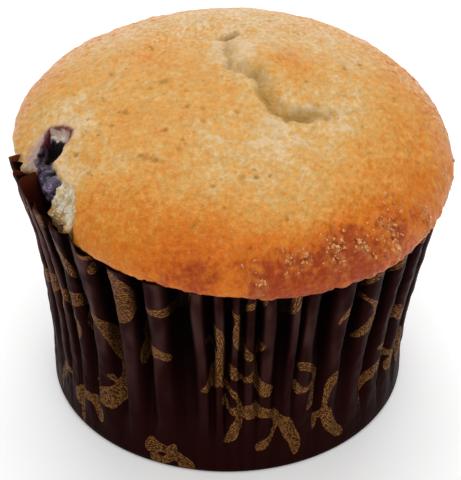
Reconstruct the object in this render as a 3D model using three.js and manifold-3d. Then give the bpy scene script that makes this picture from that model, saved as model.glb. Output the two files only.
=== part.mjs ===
// A bakery muffin with a burst blueberry, in its fluted paper case.
// Millimetres, +Z up. The origin is the middle of the paper's flat foot, and
// -Y is the muffin's front. Angles run anticlockwise from +X.
import * as THREE from "three";
import Module from "manifold-3d";
import { mergeVertices } from "three/addons/utils/BufferGeometryUtils.js";

// Driving dimensions of the paper case.
const FOOT_RADIUS = 30.4; // a 60 mm cup, with the thickness of its paper
const RIM_RADIUS = 37; // crests of the flutes just under the dome
const RIM_LEVEL = 46;
const WALL_FLARE = 2; // the wall stands nearly upright at the foot and opens towards the rim
const WALL_LEAN = { foot: -0.3, top: 0.6, from: 4, to: 36 }; // how far the case is off to +X, by level
const FOOT_ROUND = 1.1; // rounding between foot and wall
const PAPER_WALL = 0.5;
const PLEATS = 38;
const PLEAT_DEPTH = 1.9;
const PLEAT_START = 9; // level at which the flutes reach full depth
const PLEAT_UNEVEN = 0.22; // share by which pleat widths differ
const PLEAT_SEED = 7;
const CROWDED_ANGLE = -86; // the pleats stand closest at the front
const CROWDED_SPREAD = 17;
const CROWDED_SHARE = 0.5;
// The rim beside the torn cake: its level by angle, the depth of break that opens it, and how much
// its flutes spread from there up.
const OPEN_RIM = [[-172, 49], [-150, 47.8], [-140, 46.6]];
const OPEN_FROM = 1.3;
const OPEN_FULL = 1.9;
const OPEN_LOWEST = 40;
const OPEN_SPREAD = 0.55;
const RIM_SEED = 11;

// Driving dimensions of the cake.
const FIT_GAP = 0.35; // clearance between cake, paper and berry
const DOME_RADIUS = 37.3;
const DOME_EDGE_LEVEL = 45; // level of the dome's widest line
const DOME_TOP = 58.8;
const DOME_FULLNESS = 2.3;
const DOME_SHOULDER = 1.86;
const CROWN_SHIFT = { x: 0.2, y: 3 }; // the crown lies a little behind the middle
const LIP_DROP = 1.3;
const LIP_TUCK = 0.55;
// Slow waves of the dome's edge: turns round the cake, size and phase in degrees.
const EDGE_RADIUS_WAVES = [
  { turns: 1, size: 0.8, phase: 10 },
  { turns: 2, size: 0.62, phase: -103 },
  { turns: 3, size: 0.4, phase: 118 },
];
const EDGE_LEVEL_WAVES = [
  { turns: 1, size: 1.34, phase: 163 },
  { turns: 2, size: 0.43, phase: 127 },
];

// The cleft where the crust split while it rose: its course over the crown.
const CLEFT_COURSE = [[-3, 17], [-1, 8.5], [3, 3.5], [5, 0], [6.5, -4.5], [9, -8], [12, -9], [18, -6]];
const CLEFT_DEPTH = 1.8;
const CLEFT_WIDTH = 1.7;
const CLEFT_SAMPLES = 60;
const CLEFT_FADE = { start: 0.1, end: 0.55, loss: 0.7 }; // shares of its course, and how shallow it ends
// Broad swellings and hollows of the crust. They die out in the lowest part of the dome's arch.
const RELIEF_FADE = 0.5;
const SWELLS = [
  { x: 9, y: 6, radius: 6.5, height: 0.7 },
  { x: -4, y: -2, radius: 7, height: 0.5 },
  { x: -13, y: 4, radius: 6, height: 0.5 },
  { x: 14, y: -10, radius: 5, height: -0.7 },
  { x: 19, y: -30, radius: 4, height: 0.6 },
  { x: 29, y: -21, radius: 4, height: 0.5 },
  { x: 4, y: -35, radius: 5, height: 0.5 },
];

// The torn edge on the left: how far the dome's rim is broken back at each angle.
const TORN_EDGE = [[-184, 0], [-175, 1.5], [-168, 2], [-160, 3.4], [-152, 4.8], [-138, 4.2], [-134, 1.8],
  [-131, 0]];
const TORN_FACE = { from: 0.6, full: 3 }; // breaks as deep as this have no lip left
const TORN_ROUGHNESS = 0.35;
const TORN_SEED = 3;
const TORN_FOOT = { level: 43.2, step: 0.4 };
// Rows under the crust's edge. Where the lip is whole: shares of its tuck and drop. Where it is
// torn off: share of the fall to the foot of the break, and how far the face stands out.
const EDGE_ROWS = [
  { tuck: 0.2, drop: 0.5, fall: 0.35, out: -0.3 },
  { tuck: 1, drop: 1, fall: 0.75, out: -0.1 },
];

// The burst blueberry and the hollow that it sits in.
const BERRY_ANGLE = -156.5;
const BERRY_DISTANCE = 28.6;
const BERRY_LEVEL = 46.8;
const BERRY_HALF = { radial: 4.7, along: 6.2, up: 5.4 };
const BERRY_RINGS = 12;
const BERRY_COLUMNS = 24;
const BERRY_FOLDS = { depth: 0.3, turns: 5, phase: 2 };
const MOUTH = { x: -28, y: -12.2, z: 52.5, halfWidth: 2.2, halfLength: 6.6, halfDepth: 5, turn: -106 };

// Fineness of the meshes.
const CAKE_RINGS = 24;
const CORNERS = 8; // a ring of the crust's grid has this many more points than the one inside it
const PLEAT_STEPS = [0.12, 0.42, 0.62, 0.92]; // corners of one box pleat, as shares of its width
const PLEAT_CREST = [1, 1, 0, 0];
const PAPER_LEVELS = [0, 0.55, 2.2, 5, 14, 24, 34];
const BODY_LEVELS = [32, 14, 5, 2];

const wasm = await Module();
wasm.setup();

const { cos, exp, hypot, max, min, PI, sin, sqrt } = Math;
const { degToRad, euclideanModulo, lerp, radToDeg, smoothstep } = THREE.MathUtils;
const FULL_TURN = 2 * PI;
const BACK_ANGLE = -270; // angles in degrees are counted from the back, over the left, to the front

/** Value of a list of [place, value] pairs at a place, with straight runs between them. */
function along(pairs, place) {
  if (place <= pairs[0][0]) return pairs[0][1];
  const next = pairs.findIndex(([edge]) => edge >= place);
  if (next < 0) return pairs.at(-1)[1];
  const [from, low] = pairs[next - 1];
  const [to, high] = pairs[next];
  return lerp(low, high, (place - from) / (to - from));
}

/** Angle in degrees, in the turn that runs from the back left round the front. */
function degreesFromBack(angle) {
  return euclideanModulo(radToDeg(angle) - BACK_ANGLE, 360) + BACK_ANGLE;
}

/** Sum of slow waves round the cake. */
function waves(list, angle) {
  return list.reduce((sum, { turns, size, phase }) => sum + size * cos(turns * angle - degToRad(phase)), 0);
}

/** Seeded random numbers from 0 to 1 (a linear congruential generator). */
function seededRandom(seed) {
  let state = seed;
  return () => {
    state = (1664525 * state + 1013904223) % 4294967296;
    return state / 4294967296;
  };
}

// ---- The dome's shape ----

const edgeRadius = (angle) => DOME_RADIUS + waves(EDGE_RADIUS_WAVES, angle);
const edgeLevel = (angle) => DOME_EDGE_LEVEL + waves(EDGE_LEVEL_WAVES, angle);
const tornBack = (angle) => along(TORN_EDGE, degreesFromBack(angle));

/** Share of the torn face in a column: 0 where the lip is whole, 1 where it is broken off. */
function tornShare(angle) {
  return smoothstep(tornBack(angle), TORN_FACE.from, TORN_FACE.full);
}

const cleft = new THREE.CatmullRomCurve3(CLEFT_COURSE.map(([x, y]) => new THREE.Vector3(x, y, 0)));
const cleftPoints = cleft.getPoints(CLEFT_SAMPLES);

/** Depth of the cleft at a place: a groove along its course that runs out at both ends. */
function cleftAt(x, y) {
  let nearest = Infinity;
  let share = 0;
  cleftPoints.forEach((point, index) => {
    const distance = hypot(point.x - x, point.y - y);
    if (distance < nearest) {
      nearest = distance;
      share = index / CLEFT_SAMPLES;
    }
  });
  const rise = smoothstep(share, 0, CLEFT_FADE.start);
  const fall = 1 - CLEFT_FADE.loss * smoothstep(share, CLEFT_FADE.end, 1);
  return CLEFT_DEPTH * rise * fall * exp(-((nearest / CLEFT_WIDTH) ** 2));
}

/** Broad relief of the crust at a place. */
function reliefAt(x, y) {
  const swell = SWELLS.reduce(
    (sum, s) => sum + s.height * exp(-(((x - s.x) ** 2 + (y - s.y) ** 2) / s.radius ** 2)), 0);
  return swell - cleftAt(x, y);
}

/** A point of the crust: `share` runs from the crown (0) to the widest line (1). */
function crustPoint(share, angle) {
  const kept = 1 - tornBack(angle) / edgeRadius(angle);
  const t = share * kept;
  const shift = 1 - t * t;
  const x = t * edgeRadius(angle) * cos(angle) + CROWN_SHIFT.x * shift;
  const y = t * edgeRadius(angle) * sin(angle) + CROWN_SHIFT.y * shift;
  const arch = max(0, 1 - t ** DOME_FULLNESS) ** (1 / DOME_SHOULDER);
  const base = lerp(edgeLevel(angle), DOME_TOP, arch);
  return new THREE.Vector3(x, y, base + reliefAt(x, y) * smoothstep(arch, 0, RELIEF_FADE));
}

// ---- The paper's shape ----

/** Radius of the crests of the flutes at a level. */
function crestRadius(level, angle) {
  const flare = (RIM_RADIUS - FOOT_RADIUS) * (level / RIM_LEVEL) ** WALL_FLARE;
  const lean = lerp(WALL_LEAN.foot, WALL_LEAN.top, smoothstep(level, WALL_LEAN.from, WALL_LEAN.to));
  return FOOT_RADIUS + flare + lean * cos(angle);
}

/** Depth of the flutes at a level: none at the foot, full above PLEAT_START. */
function pleatDepth(level) {
  return PLEAT_DEPTH * smoothstep(level, 0, PLEAT_START);
}

/** Angles of the pleats' left edges, uneven and crowded at the front. */
function pleatEdges() {
  const random = seededRandom(PLEAT_SEED);
  const widths = [];
  for (let i = 0; i < PLEATS; i += 1) {
    const middle = (i + 0.5) * (360 / PLEATS) + BACK_ANGLE;
    const crowding = CROWDED_SHARE * exp(-(((middle - CROWDED_ANGLE) / CROWDED_SPREAD) ** 2));
    widths.push((1 - crowding) * (1 + PLEAT_UNEVEN * (2 * random() - 1)));
  }
  const whole = widths.reduce((sum, width) => sum + width, 0);
  let edge = degToRad(BACK_ANGLE);
  return widths.map((width) => {
    const start = edge;
    edge += (width / whole) * FULL_TURN;
    return { start, width: edge - start };
  });
}

/** Radius of the cake inside the flutes. */
function bodyRadius(level, angle) {
  return crestRadius(level, angle) - pleatDepth(level) - PAPER_WALL - FIT_GAP;
}

// ---- Meshes ----

/** The point at a radius, an angle and a level. */
function pointAt(radius, angle, level) {
  return new THREE.Vector3(radius * cos(angle), radius * sin(angle), level);
}

/** Mesh of a closed body made of rows of points, capped by a middle point at each end. */
function closedRows(rows, firstMiddle, lastMiddle) {
  const columns = rows[0].length;
  const points = [firstMiddle, ...rows.flat(), lastMiddle];
  const last = points.length - 1;
  const at = (row, column) => 1 + row * columns + (column % columns);
  const faces = [];
  for (let c = 0; c < columns; c += 1) {
    faces.push(0, at(0, c + 1), at(0, c));
    for (let r = 0; r + 1 < rows.length; r += 1) {
      faces.push(at(r, c), at(r, c + 1), at(r + 1, c + 1));
      faces.push(at(r, c), at(r + 1, c + 1), at(r + 1, c));
    }
    faces.push(last, at(rows.length - 1, c), at(rows.length - 1, c + 1));
  }
  return geometryOf(points, faces);
}

/** Geometry of points and triangles. */
function geometryOf(points, faces) {
  const geometry = new THREE.BufferGeometry();
  const numbers = points.flatMap(({ x, y, z }) => [x, y, z]);
  geometry.setAttribute("position", new THREE.Float32BufferAttribute(numbers, 3));
  geometry.setIndex(faces);
  return geometry;
}

/** Solid of a closed geometry, for cutting. */
function solidOf(geometry) {
  const bare = geometry.clone();
  bare.deleteAttribute("normal");
  bare.deleteAttribute("uv");
  const merged = mergeVertices(bare);
  const vertProperties = new Float32Array(merged.attributes.position.array);
  const triVerts = new Uint32Array(merged.index.array);
  return new wasm.Manifold(new wasm.Mesh({ numProp: 3, vertProperties, triVerts }));
}

/** Geometry of a solid that was cut. */
function geometryOfSolid(solid) {
  const { vertProperties, triVerts } = solid.getMesh();
  const geometry = new THREE.BufferGeometry();
  geometry.setAttribute("position", new THREE.Float32BufferAttribute(vertProperties, 3));
  geometry.setIndex([...triVerts]);
  return geometry;
}

/** Column angles of the cake, from the back left round to it again. */
const CAKE_COLUMNS = CORNERS * CAKE_RINGS;
const cakeColumns = Array.from({ length: CAKE_COLUMNS }, (_, c) => (c / CAKE_COLUMNS) * FULL_TURN);

/** Rows under the crust's edge: the rolled lip, or the torn face where the lip is gone. */
function edgeRows() {
  const random = seededRandom(TORN_SEED);
  const rough = cakeColumns.map(() => TORN_ROUGHNESS * (2 * random() - 1));
  return EDGE_ROWS.map(({ tuck, drop, fall, out }) => cakeColumns.map((angle, c) => {
    const edge = crustPoint(1, angle);
    const radius = hypot(edge.x, edge.y);
    const torn = tornShare(angle);
    const level = lerp(edge.z - drop * LIP_DROP, lerp(edge.z, TORN_FOOT.level, fall), torn);
    return pointAt(lerp(radius - tuck * LIP_TUCK, radius + out + rough[c], torn), angle, level);
  }));
}

/** Rows of the body inside the paper, from just under the lip to the foot. */
function bodyRows() {
  const top = cakeColumns.map((angle) => {
    const underLip = edgeLevel(angle) - LIP_DROP - FIT_GAP;
    const level = lerp(underLip, TORN_FOOT.level - TORN_FOOT.step, tornShare(angle));
    const tornFoot = edgeRadius(angle) - tornBack(angle) + TORN_FOOT.step;
    return pointAt(min(bodyRadius(level, angle), tornFoot), angle, level);
  });
  const ring = (level) => cakeColumns.map((angle) => pointAt(bodyRadius(level, angle), angle, level));
  const footLevel = PAPER_WALL + FIT_GAP;
  const foot = cakeColumns.map((angle) => pointAt(bodyRadius(0, angle) - FOOT_ROUND, angle, footLevel));
  return [top, ...BODY_LEVELS.map(ring), foot];
}

/** The crust's grid of square rings: ring k has CORNERS * k points. */
function crustGrid() {
  const points = [crustPoint(0, 0)];
  const faces = [];
  const start = (ring) => (ring === 0 ? 0 : 1 + (CORNERS / 2) * ring * (ring - 1));
  const at = (ring, step) => (ring === 0 ? 0 : start(ring) + (step % (CORNERS * ring)));
  for (let ring = 1; ring <= CAKE_RINGS; ring += 1) {
    for (let step = 0; step < CORNERS * ring; step += 1) {
      points.push(crustPoint(ring / CAKE_RINGS, (step / (CORNERS * ring)) * FULL_TURN));
    }
    for (let sector = 0; sector < CORNERS; sector += 1) {
      for (let step = 0; step < ring; step += 1) {
        const outer = sector * ring + step;
        const inner = sector * (ring - 1) + step;
        faces.push(at(ring, outer), at(ring, outer + 1), at(ring - 1, inner));
        if (step + 1 < ring) faces.push(at(ring - 1, inner), at(ring, outer + 1), at(ring - 1, inner + 1));
      }
    }
  }
  return { points, faces, rim: start(CAKE_RINGS) };
}

/** The whole cake before the berry's hollow is cut. */
function wholeCake() {
  const { points, faces, rim } = crustGrid();
  const columns = cakeColumns.length;
  const rows = [...edgeRows(), ...bodyRows()];
  const firstNew = points.length;
  const at = (row, column) => (row < 0 ? rim : firstNew + row * columns) + (column % columns);
  const middle = firstNew + rows.length * columns;
  points.push(...rows.flat(), pointAt(0, 0, PAPER_WALL + FIT_GAP));
  for (let c = 0; c < columns; c += 1) {
    for (let r = -1; r + 1 < rows.length; r += 1) {
      faces.push(at(r, c), at(r + 1, c), at(r + 1, c + 1));
      faces.push(at(r, c), at(r + 1, c + 1), at(r, c + 1));
    }
    faces.push(middle, at(rows.length - 1, c + 1), at(rows.length - 1, c));
  }
  return geometryOf(points, faces);
}

/** The berry in its place in the cake: an ellipsoid with folds this deep, grown outwards all round. */
function berryGeometry(grown, folds) {
  const geometry = new THREE.SphereGeometry(1, BERRY_COLUMNS, BERRY_RINGS);
  const position = geometry.attributes.position;
  const half = BERRY_HALF;
  const turn = degToRad(BERRY_ANGLE);
  for (let i = 0; i < position.count; i += 1) {
    const unit = new THREE.Vector3().fromBufferAttribute(position, i);
    const lobes = unit.x ** 3 - 3 * unit.x * unit.z ** 2;
    const fold = 1 - (folds / half.up) * (1 + lobes * sin(BERRY_FOLDS.turns * unit.y + BERRY_FOLDS.phase));
    const radial = (half.radial + grown) * unit.x * fold;
    const side = (half.along + grown) * unit.z * fold;
    const x = (BERRY_DISTANCE + radial) * cos(turn) + side * sin(turn);
    const y = (BERRY_DISTANCE + radial) * sin(turn) - side * cos(turn);
    position.setXYZ(i, x, y, BERRY_LEVEL + (half.up + grown) * unit.y * fold);
  }
  return geometry;
}

/** The opening in the crust over the berry. */
function mouthGeometry() {
  const geometry = new THREE.SphereGeometry(1, BERRY_COLUMNS, BERRY_RINGS);
  geometry.scale(MOUTH.halfLength, MOUTH.halfWidth, MOUTH.halfDepth);
  geometry.rotateZ(degToRad(MOUTH.turn));
  geometry.translate(MOUTH.x, MOUTH.y, MOUTH.z);
  return geometry;
}

function cakeGeometry() {
  const pocket = solidOf(berryGeometry(FIT_GAP, 0));
  const hollow = pocket.add(solidOf(mouthGeometry()));
  return geometryOfSolid(solidOf(wholeCake()).subtract(hollow));
}

/** The pleats' corners round the case. */
function paperColumns() {
  const random = seededRandom(RIM_SEED);
  return pleatEdges().flatMap(({ start, width }) => {
    const lift = random() - 0.5;
    return PLEAT_STEPS.map((step, i) => ({ angle: start + width * step, crest: PLEAT_CREST[i], lift }));
  });
}

/** Level of the paper's rim: close under the lip, and higher where the cake is torn back. */
function paperRim({ angle, lift }) {
  const underLip = edgeLevel(angle) - LIP_DROP - FIT_GAP;
  const open = smoothstep(tornBack(angle), OPEN_FROM, OPEN_FULL);
  return lerp(underLip, along(OPEN_RIM, degreesFromBack(angle)) + lift, open);
}

/** A point of the paper at a pleat's corner: its flutes flatten where the rim stands open. */
function paperPoint({ angle, crest }, level, inset) {
  const open = smoothstep(tornBack(angle), 0, OPEN_FULL) * smoothstep(level, OPEN_LOWEST, RIM_LEVEL);
  const flute = pleatDepth(level) * (1 - OPEN_SPREAD * open) * (1 - crest);
  const tuck = FOOT_ROUND * (1 - sqrt(1 - (1 - min(level / FOOT_ROUND, 1)) ** 2));
  return pointAt(crestRadius(level, angle) - flute - tuck - inset, angle, level);
}

/** The case: up the outside, over the rim and down the inside. */
function paperGeometry() {
  const columns = paperColumns();
  const ring = (level, inset) => columns.map((column) => paperPoint(column, level, inset));
  const rim = (inset) => columns.map((column) => paperPoint(column, paperRim(column), inset));
  const outside = PAPER_LEVELS.map((level) => ring(level, 0));
  const inside = PAPER_LEVELS.slice(1).map((level) => ring(level, PAPER_WALL)).reverse();
  inside.at(-1).forEach((point) => point.setZ(PAPER_WALL));
  const rows = [...outside, rim(0), rim(PAPER_WALL), ...inside];
  return closedRows(rows, pointAt(0, 0, 0), pointAt(0, 0, PAPER_WALL));
}

// ---- The muffin ----

const crust = new THREE.MeshStandardMaterial({ color: "#cf8f4a", roughness: 0.6, metalness: 0 });
const berrySkin = new THREE.MeshStandardMaterial({ color: "#3a2f45", roughness: 0.4, metalness: 0 });
const brownPaper = new THREE.MeshStandardMaterial({ color: "#2a1413", roughness: 0.45, metalness: 0 });

/** A named sub-part. */
function part(name, geometry, material) {
  const mesh = new THREE.Mesh(geometry, material);
  mesh.name = name;
  return mesh;
}

const muffin = new THREE.Group();
muffin.name = "muffin";
muffin.add(part("cake", cakeGeometry(), crust));
muffin.add(part("blueberry", berryGeometry(0, BERRY_FOLDS.depth), berrySkin));
muffin.add(part("paper_case", paperGeometry(), brownPaper));

export default muffin;
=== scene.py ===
"""A bakery muffin with a burst blueberry, in its fluted paper case.

Lengths in this file are in millimetres unless a property says otherwise, and meshes are written
in metres. +Z is up, the paper's foot stands on z = 0, and -Y is the front. Angles run
anticlockwise from +X and are kept from -270 degrees (the back) over the left to +90 degrees.
"""

import itertools
import math

import bpy
import numpy as np
from bpy.props import FloatProperty, FloatVectorProperty, IntProperty, PointerProperty
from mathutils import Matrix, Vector


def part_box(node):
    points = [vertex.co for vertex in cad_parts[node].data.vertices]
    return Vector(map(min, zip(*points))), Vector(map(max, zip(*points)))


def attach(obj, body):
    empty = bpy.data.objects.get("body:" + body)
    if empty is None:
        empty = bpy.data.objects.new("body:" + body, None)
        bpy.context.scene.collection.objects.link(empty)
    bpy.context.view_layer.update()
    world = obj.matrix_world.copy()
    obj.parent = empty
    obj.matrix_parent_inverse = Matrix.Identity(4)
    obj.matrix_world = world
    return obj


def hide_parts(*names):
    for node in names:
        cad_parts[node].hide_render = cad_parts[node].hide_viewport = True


bl_info = {
    "name": "Blueberry Muffin",
    "version": (1, 0, 0),
    "blender": (4, 5, 0),
    "location": "3D View > Sidebar > Muffin",
    "description": "Builds a blueberry muffin in a fluted paper case around its packed frame",
    "category": "Add Mesh",
}

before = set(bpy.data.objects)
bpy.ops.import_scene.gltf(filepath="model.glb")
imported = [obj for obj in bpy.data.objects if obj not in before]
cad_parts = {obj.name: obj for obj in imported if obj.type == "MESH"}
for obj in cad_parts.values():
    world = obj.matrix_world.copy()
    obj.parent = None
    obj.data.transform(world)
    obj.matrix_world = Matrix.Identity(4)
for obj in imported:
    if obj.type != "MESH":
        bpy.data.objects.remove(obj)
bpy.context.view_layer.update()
MM = 0.001
BODY = "root"
BACK = -270.0  # the angle at which a turn starts
NOISE_PERIOD = 256  # lattice cells after which noise repeats
NOISE_GAIN = 1.6  # brings the noise to about -1 to 1

CROWN_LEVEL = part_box("cake")[1].z / MM
BERRY_LOW, BERRY_HIGH = (np.array(corner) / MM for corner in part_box("blueberry"))


# ---- Small tools ----


def linear_colour(text):
    """Linear RGB and full alpha of an sRGB hex colour."""
    levels = np.array([int(text[i : i + 2], 16) for i in (1, 3, 5)]) / 255.0
    linear = np.where(levels <= 0.04045, levels / 12.92, ((levels + 0.055) / 1.055) ** 2.4)
    return (*linear.tolist(), 1.0)


def colour_property(name, description, text):
    """A colour property whose default is an sRGB hex colour."""
    return FloatVectorProperty(
        name=name, description=description, subtype="COLOR", size=4, min=0.0, max=1.0,
        default=linear_colour(text),
    )


def length_property(name, description, default):
    """A length property in millimetres."""
    description += ", in millimetres"
    return FloatProperty(name=name, description=description, default=default, precision=3)


def count_property(name, description, default, least):
    """A whole number that isn't below a least one."""
    return IntProperty(name=name, description=description, default=default, min=least)


def ease(low, high, value):
    """Smooth step: 0 below low, 1 above high, and a cubic between them."""
    t = np.clip((value - low) / (high - low), 0.0, 1.0)
    return t * t * (3.0 - 2.0 * t)


def mix(a, b, share):
    """Straight blend from a to b."""
    return a + (b - a) * share


def wrap_degrees(angle):
    """Angle in radians as degrees in the turn that starts at the back."""
    return np.mod(np.degrees(angle) - BACK, 360.0) + BACK


def lattice_noise(points, cell, seed):
    """Gradient noise of about -1 to 1: a random slope at each corner of a lattice with this cell,
    blended across the cell by a fifth-order curve. The slopes come from a table that repeats."""
    rng = np.random.default_rng(seed)
    table = rng.permutation(NOISE_PERIOD)
    slopes = rng.normal(size=(NOISE_PERIOD, 3))
    slopes /= np.linalg.norm(slopes, axis=1, keepdims=True)
    scaled = points / cell
    base = np.floor(scaled).astype(np.int64)
    within = scaled - base
    fade = within**3 * (within * (within * 6.0 - 15.0) + 10.0)
    total = np.zeros(len(points))
    for corner in itertools.product((0, 1), repeat=3):
        x, y, z = ((base + corner) % NOISE_PERIOD).T
        key = table[(table[(table[x] + y) % NOISE_PERIOD] + z) % NOISE_PERIOD]
        weight = np.prod(np.where(corner, fade, 1.0 - fade), axis=1)
        total += weight * np.einsum("ij,ij->i", slopes[key], within - corner)
    return NOISE_GAIN * total


def layered_noise(points, cell, layers, seed):
    """Lattice noise in layers, each with half the cell and half the strength of the last."""
    return sum(lattice_noise(points, cell / 2**i, seed + i) / 2**i for i in range(layers))


def along_path(points, path, count=120):
    """For each (x, y): distance to a smooth path, share of its course, and side (+1 on its left).
    The path is a Catmull-Rom curve through its places, cut into straight runs."""
    places = np.array(path, float)
    padded = np.vstack([2 * places[0] - places[1], places, 2 * places[-1] - places[-2]])
    s = np.linspace(0, len(places) - 1.000001, count)
    i = s.astype(int)
    t = (s - i)[:, None]
    a, b, c, d = padded[i], padded[i + 1], padded[i + 2], padded[i + 3]
    course = 0.5 * (
        2 * b + (c - a) * t + (2 * a - 5 * b + 4 * c - d) * t**2 + (3 * b - a - 3 * c + d) * t**3
    )
    nearest = np.full(len(points), np.inf)
    share = np.zeros(len(points))
    side = np.ones(len(points))
    for k in range(count - 1):
        run = course[k + 1] - course[k]
        off = points - course[k]
        t = np.clip(off @ run / (run @ run), 0.0, 1.0)
        gap = np.hypot(*(off - t[:, None] * run).T)
        closer = gap < nearest
        nearest = np.where(closer, gap, nearest)
        share = np.where(closer, (k + t) / (count - 1), share)
        side = np.where(closer, np.sign(run[0] * off[:, 1] - run[1] * off[:, 0]), side)
    return nearest, share, side


def add_mesh(name, points, faces, material, attributes=()):
    """A smooth-shaded object with its place in its mesh. Points are in millimetres, faces are rows
    of three or four corners, and each attribute is a (name, values) pair, one value a point."""
    mesh = bpy.data.meshes.new(name)
    corners = faces.shape[1]
    mesh.vertices.add(len(points))
    mesh.vertices.foreach_set("co", (points * MM).astype(np.float32).ravel())
    mesh.loops.add(faces.size)
    mesh.loops.foreach_set("vertex_index", faces.astype(np.int32).ravel())
    mesh.polygons.add(len(faces))
    mesh.polygons.foreach_set("loop_start", np.arange(0, faces.size, corners, dtype=np.int32))
    mesh.update(calc_edges=True)
    mesh.validate()
    mesh.polygons.foreach_set("use_smooth", np.ones(len(faces), bool))
    for attribute, values in attributes:
        layer = mesh.attributes.new(attribute, "FLOAT", "POINT")
        layer.data.foreach_set("value", values.astype(np.float32))
    mesh.materials.append(material)
    made = bpy.data.objects.new(name, mesh)
    bpy.context.scene.collection.objects.link(made)
    return made


def point_normals(points, faces):
    """Unit normal at each point: the sum of its faces' normals, each as long as its face is large."""
    a, b, c = (points[faces[:, k]] for k in range(3))
    across = np.cross(b - a, c - a)
    normals = np.zeros_like(points)
    for k, axis in itertools.product(range(3), repeat=2):
        normals[:, axis] += np.bincount(faces[:, k], across[:, axis], minlength=len(points))
    return normals / np.maximum(np.linalg.norm(normals, axis=1, keepdims=True), 1e-12)


def on_ground(flat):
    """(x, y) places as points at level 0."""
    return np.column_stack([flat, np.zeros(len(flat))])


def round_axis(reach, angle, level):
    """Points at a distance from the axis, an angle in radians and a level."""
    return np.column_stack(np.broadcast_arrays(reach * np.cos(angle), reach * np.sin(angle), level))


def swellings(points, table):
    """Sum of round bumps, each given by its place, radius and height, that fall off as
    exp(-(gap / radius)^2)."""
    return sum(
        height * np.exp(-((points - place) ** 2).sum(1) / radius**2) for *place, radius, height in table
    )


def row_faces(rows, columns):
    """Triangles between closed rows of points that follow each other, top row first."""
    r, c = np.meshgrid(np.arange(rows - 1), np.arange(columns), indexing="ij")
    here = r * columns + c
    right = r * columns + (c + 1) % columns
    below, below_right = here + columns, right + columns
    quads = np.stack([here, below, below_right, right], axis=-1).reshape(-1, 4)
    return np.vstack([quads[:, [0, 1, 2]], quads[:, [0, 2, 3]]])


def fan_faces(middle, first, columns, upward):
    """Triangles from a closed row to one middle point."""
    c = np.arange(columns)
    here, right = first + c, first + (c + 1) % columns
    order = (here, right) if upward else (right, here)
    return np.stack([np.full(columns, middle), *order], axis=-1)


def add_node(tree, kind, inputs=(), **settings):
    """Adds a shader node, sets its properties, and gives its inputs a value or a link, by name or in
    their order. A node that is given as a value stands for its first output."""
    made = tree.nodes.new("ShaderNode" + kind)
    for name, value in settings.items():
        setattr(made, name, value)
    if isinstance(inputs, dict):
        pairs = [(made.inputs[name], value) for name, value in inputs.items()]
    else:
        pairs = zip([socket for socket in made.inputs if socket.enabled], inputs)
    for socket, value in pairs:
        if isinstance(value, bpy.types.Node):
            value = next(output for output in value.outputs if output.enabled)
        if isinstance(value, bpy.types.NodeSocket):
            tree.links.new(value, socket)
        else:
            socket.default_value = value
    return made


def new_material(name):
    """An empty node material and its tree."""
    material = bpy.data.materials.new(name)
    material.use_nodes = True
    material.node_tree.nodes.clear()
    return material, material.node_tree


def set_stops(ramp, stops):
    """Gives a colour ramp these (place, colour) stops."""
    elements = ramp.color_ramp.elements
    while len(elements) < len(stops):
        elements.new(1.0)
    for element, (place, colour) in zip(elements, stops):
        element.position = place
        element.color = colour


# ---- The cake ----

EDGE_RADIUS_WAVES = ((1, 0.8, 10.0), (2, 0.62, -103.0), (3, 0.4, 118.0))
EDGE_LEVEL_WAVES = ((1, 1.34, 163.0), (2, 0.43, 127.0))
CROWN_SHIFT = (0.2, 3.0)
DOME_FULLNESS = 2.3
DOME_SHOULDER = 1.86
LIP_SHARE = 0.45  # part of the rows under the rim in which the lip rolls in
BODY_LEVELS = (38.0, 30.0, 20.0, 12.0, 5.0, 1.0)  # rows of the body inside the case
NOTCH_DEPTH = 1.3
STEP_DEPTH = 1.5
PORE_SPREAD = 33.0  # how far from the middle the small pores lie
CROWN_BROWNING = 0.21
BROWNED_RIM = 37.0  # distance from the middle where the rim's browning is full
TORN_FROM = (1.6, 2.8)  # how far the rim is broken back where the lip turns into the torn face
# How far the rim is broken back, by angle.
TORN_EDGE = (
    (-205.0, 0.0), (-190.0, 0.6), (-173.0, 0.6), (-169.5, 0.3), (-167.5, 0.4), (-163.6, 1.0),
    (-160.0, 1.8), (-157.4, 2.2), (-155.5, 3.0), (-152.0, 3.4), (-149.0, 3.5), (-147.0, 3.8),
    (-143.0, 3.9), (-140.5, 3.4), (-138.2, 2.6), (-136.4, 1.6), (-135.4, 0.5), (-134.6, 0.0),
)
TORN_MIDDLE = -152.0
# The split across the crown, the short notch at its far end, and the shallow step that runs from
# there to the left.
CLEFT = (
    (-0.6, 15.6), (-0.7, 14.2), (-0.8, 12.0), (-0.5, 9.0), (-0.2, 6.6), (0.8, 4.8), (2.8, 3.7),
    (4.4, 2.6), (5.2, 0.4), (5.4, -2.2), (6.6, -4.8), (8.8, -6.9), (12.0, -7.5), (15.0, -6.0),
    (18.0, -5.8), (21.0, -4.0),
)
NOTCH = ((-2.2, 14.9), (-1.2, 15.2), (0.2, 16.0), (1.3, 17.2))
STEP = (
    (-2.6, 14.4), (-4.6, 15.8), (-8.0, 15.4), (-10.9, 13.4), (-13.0, 9.9), (-18.1, 7.1), (-23.8, 1.2),
    (-26.0, -4.0),
)
# Swellings and hollows: x, y, radius and height.
SWELLS = (
    (9.0, 6.0, 6.5, 0.7), (-3.0, 2.0, 6.0, 0.5), (-13.0, 4.0, 6.0, 0.4), (15.0, -11.0, 5.0, -0.6),
    (-20.0, 28.0, 8.0, -1.1), (19.0, -30.0, 4.0, 0.5), (29.0, -21.0, 4.0, 0.4), (4.0, -35.0, 5.0, 0.4),
    (2.0, 15.0, 2.6, -0.5),
)
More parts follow.
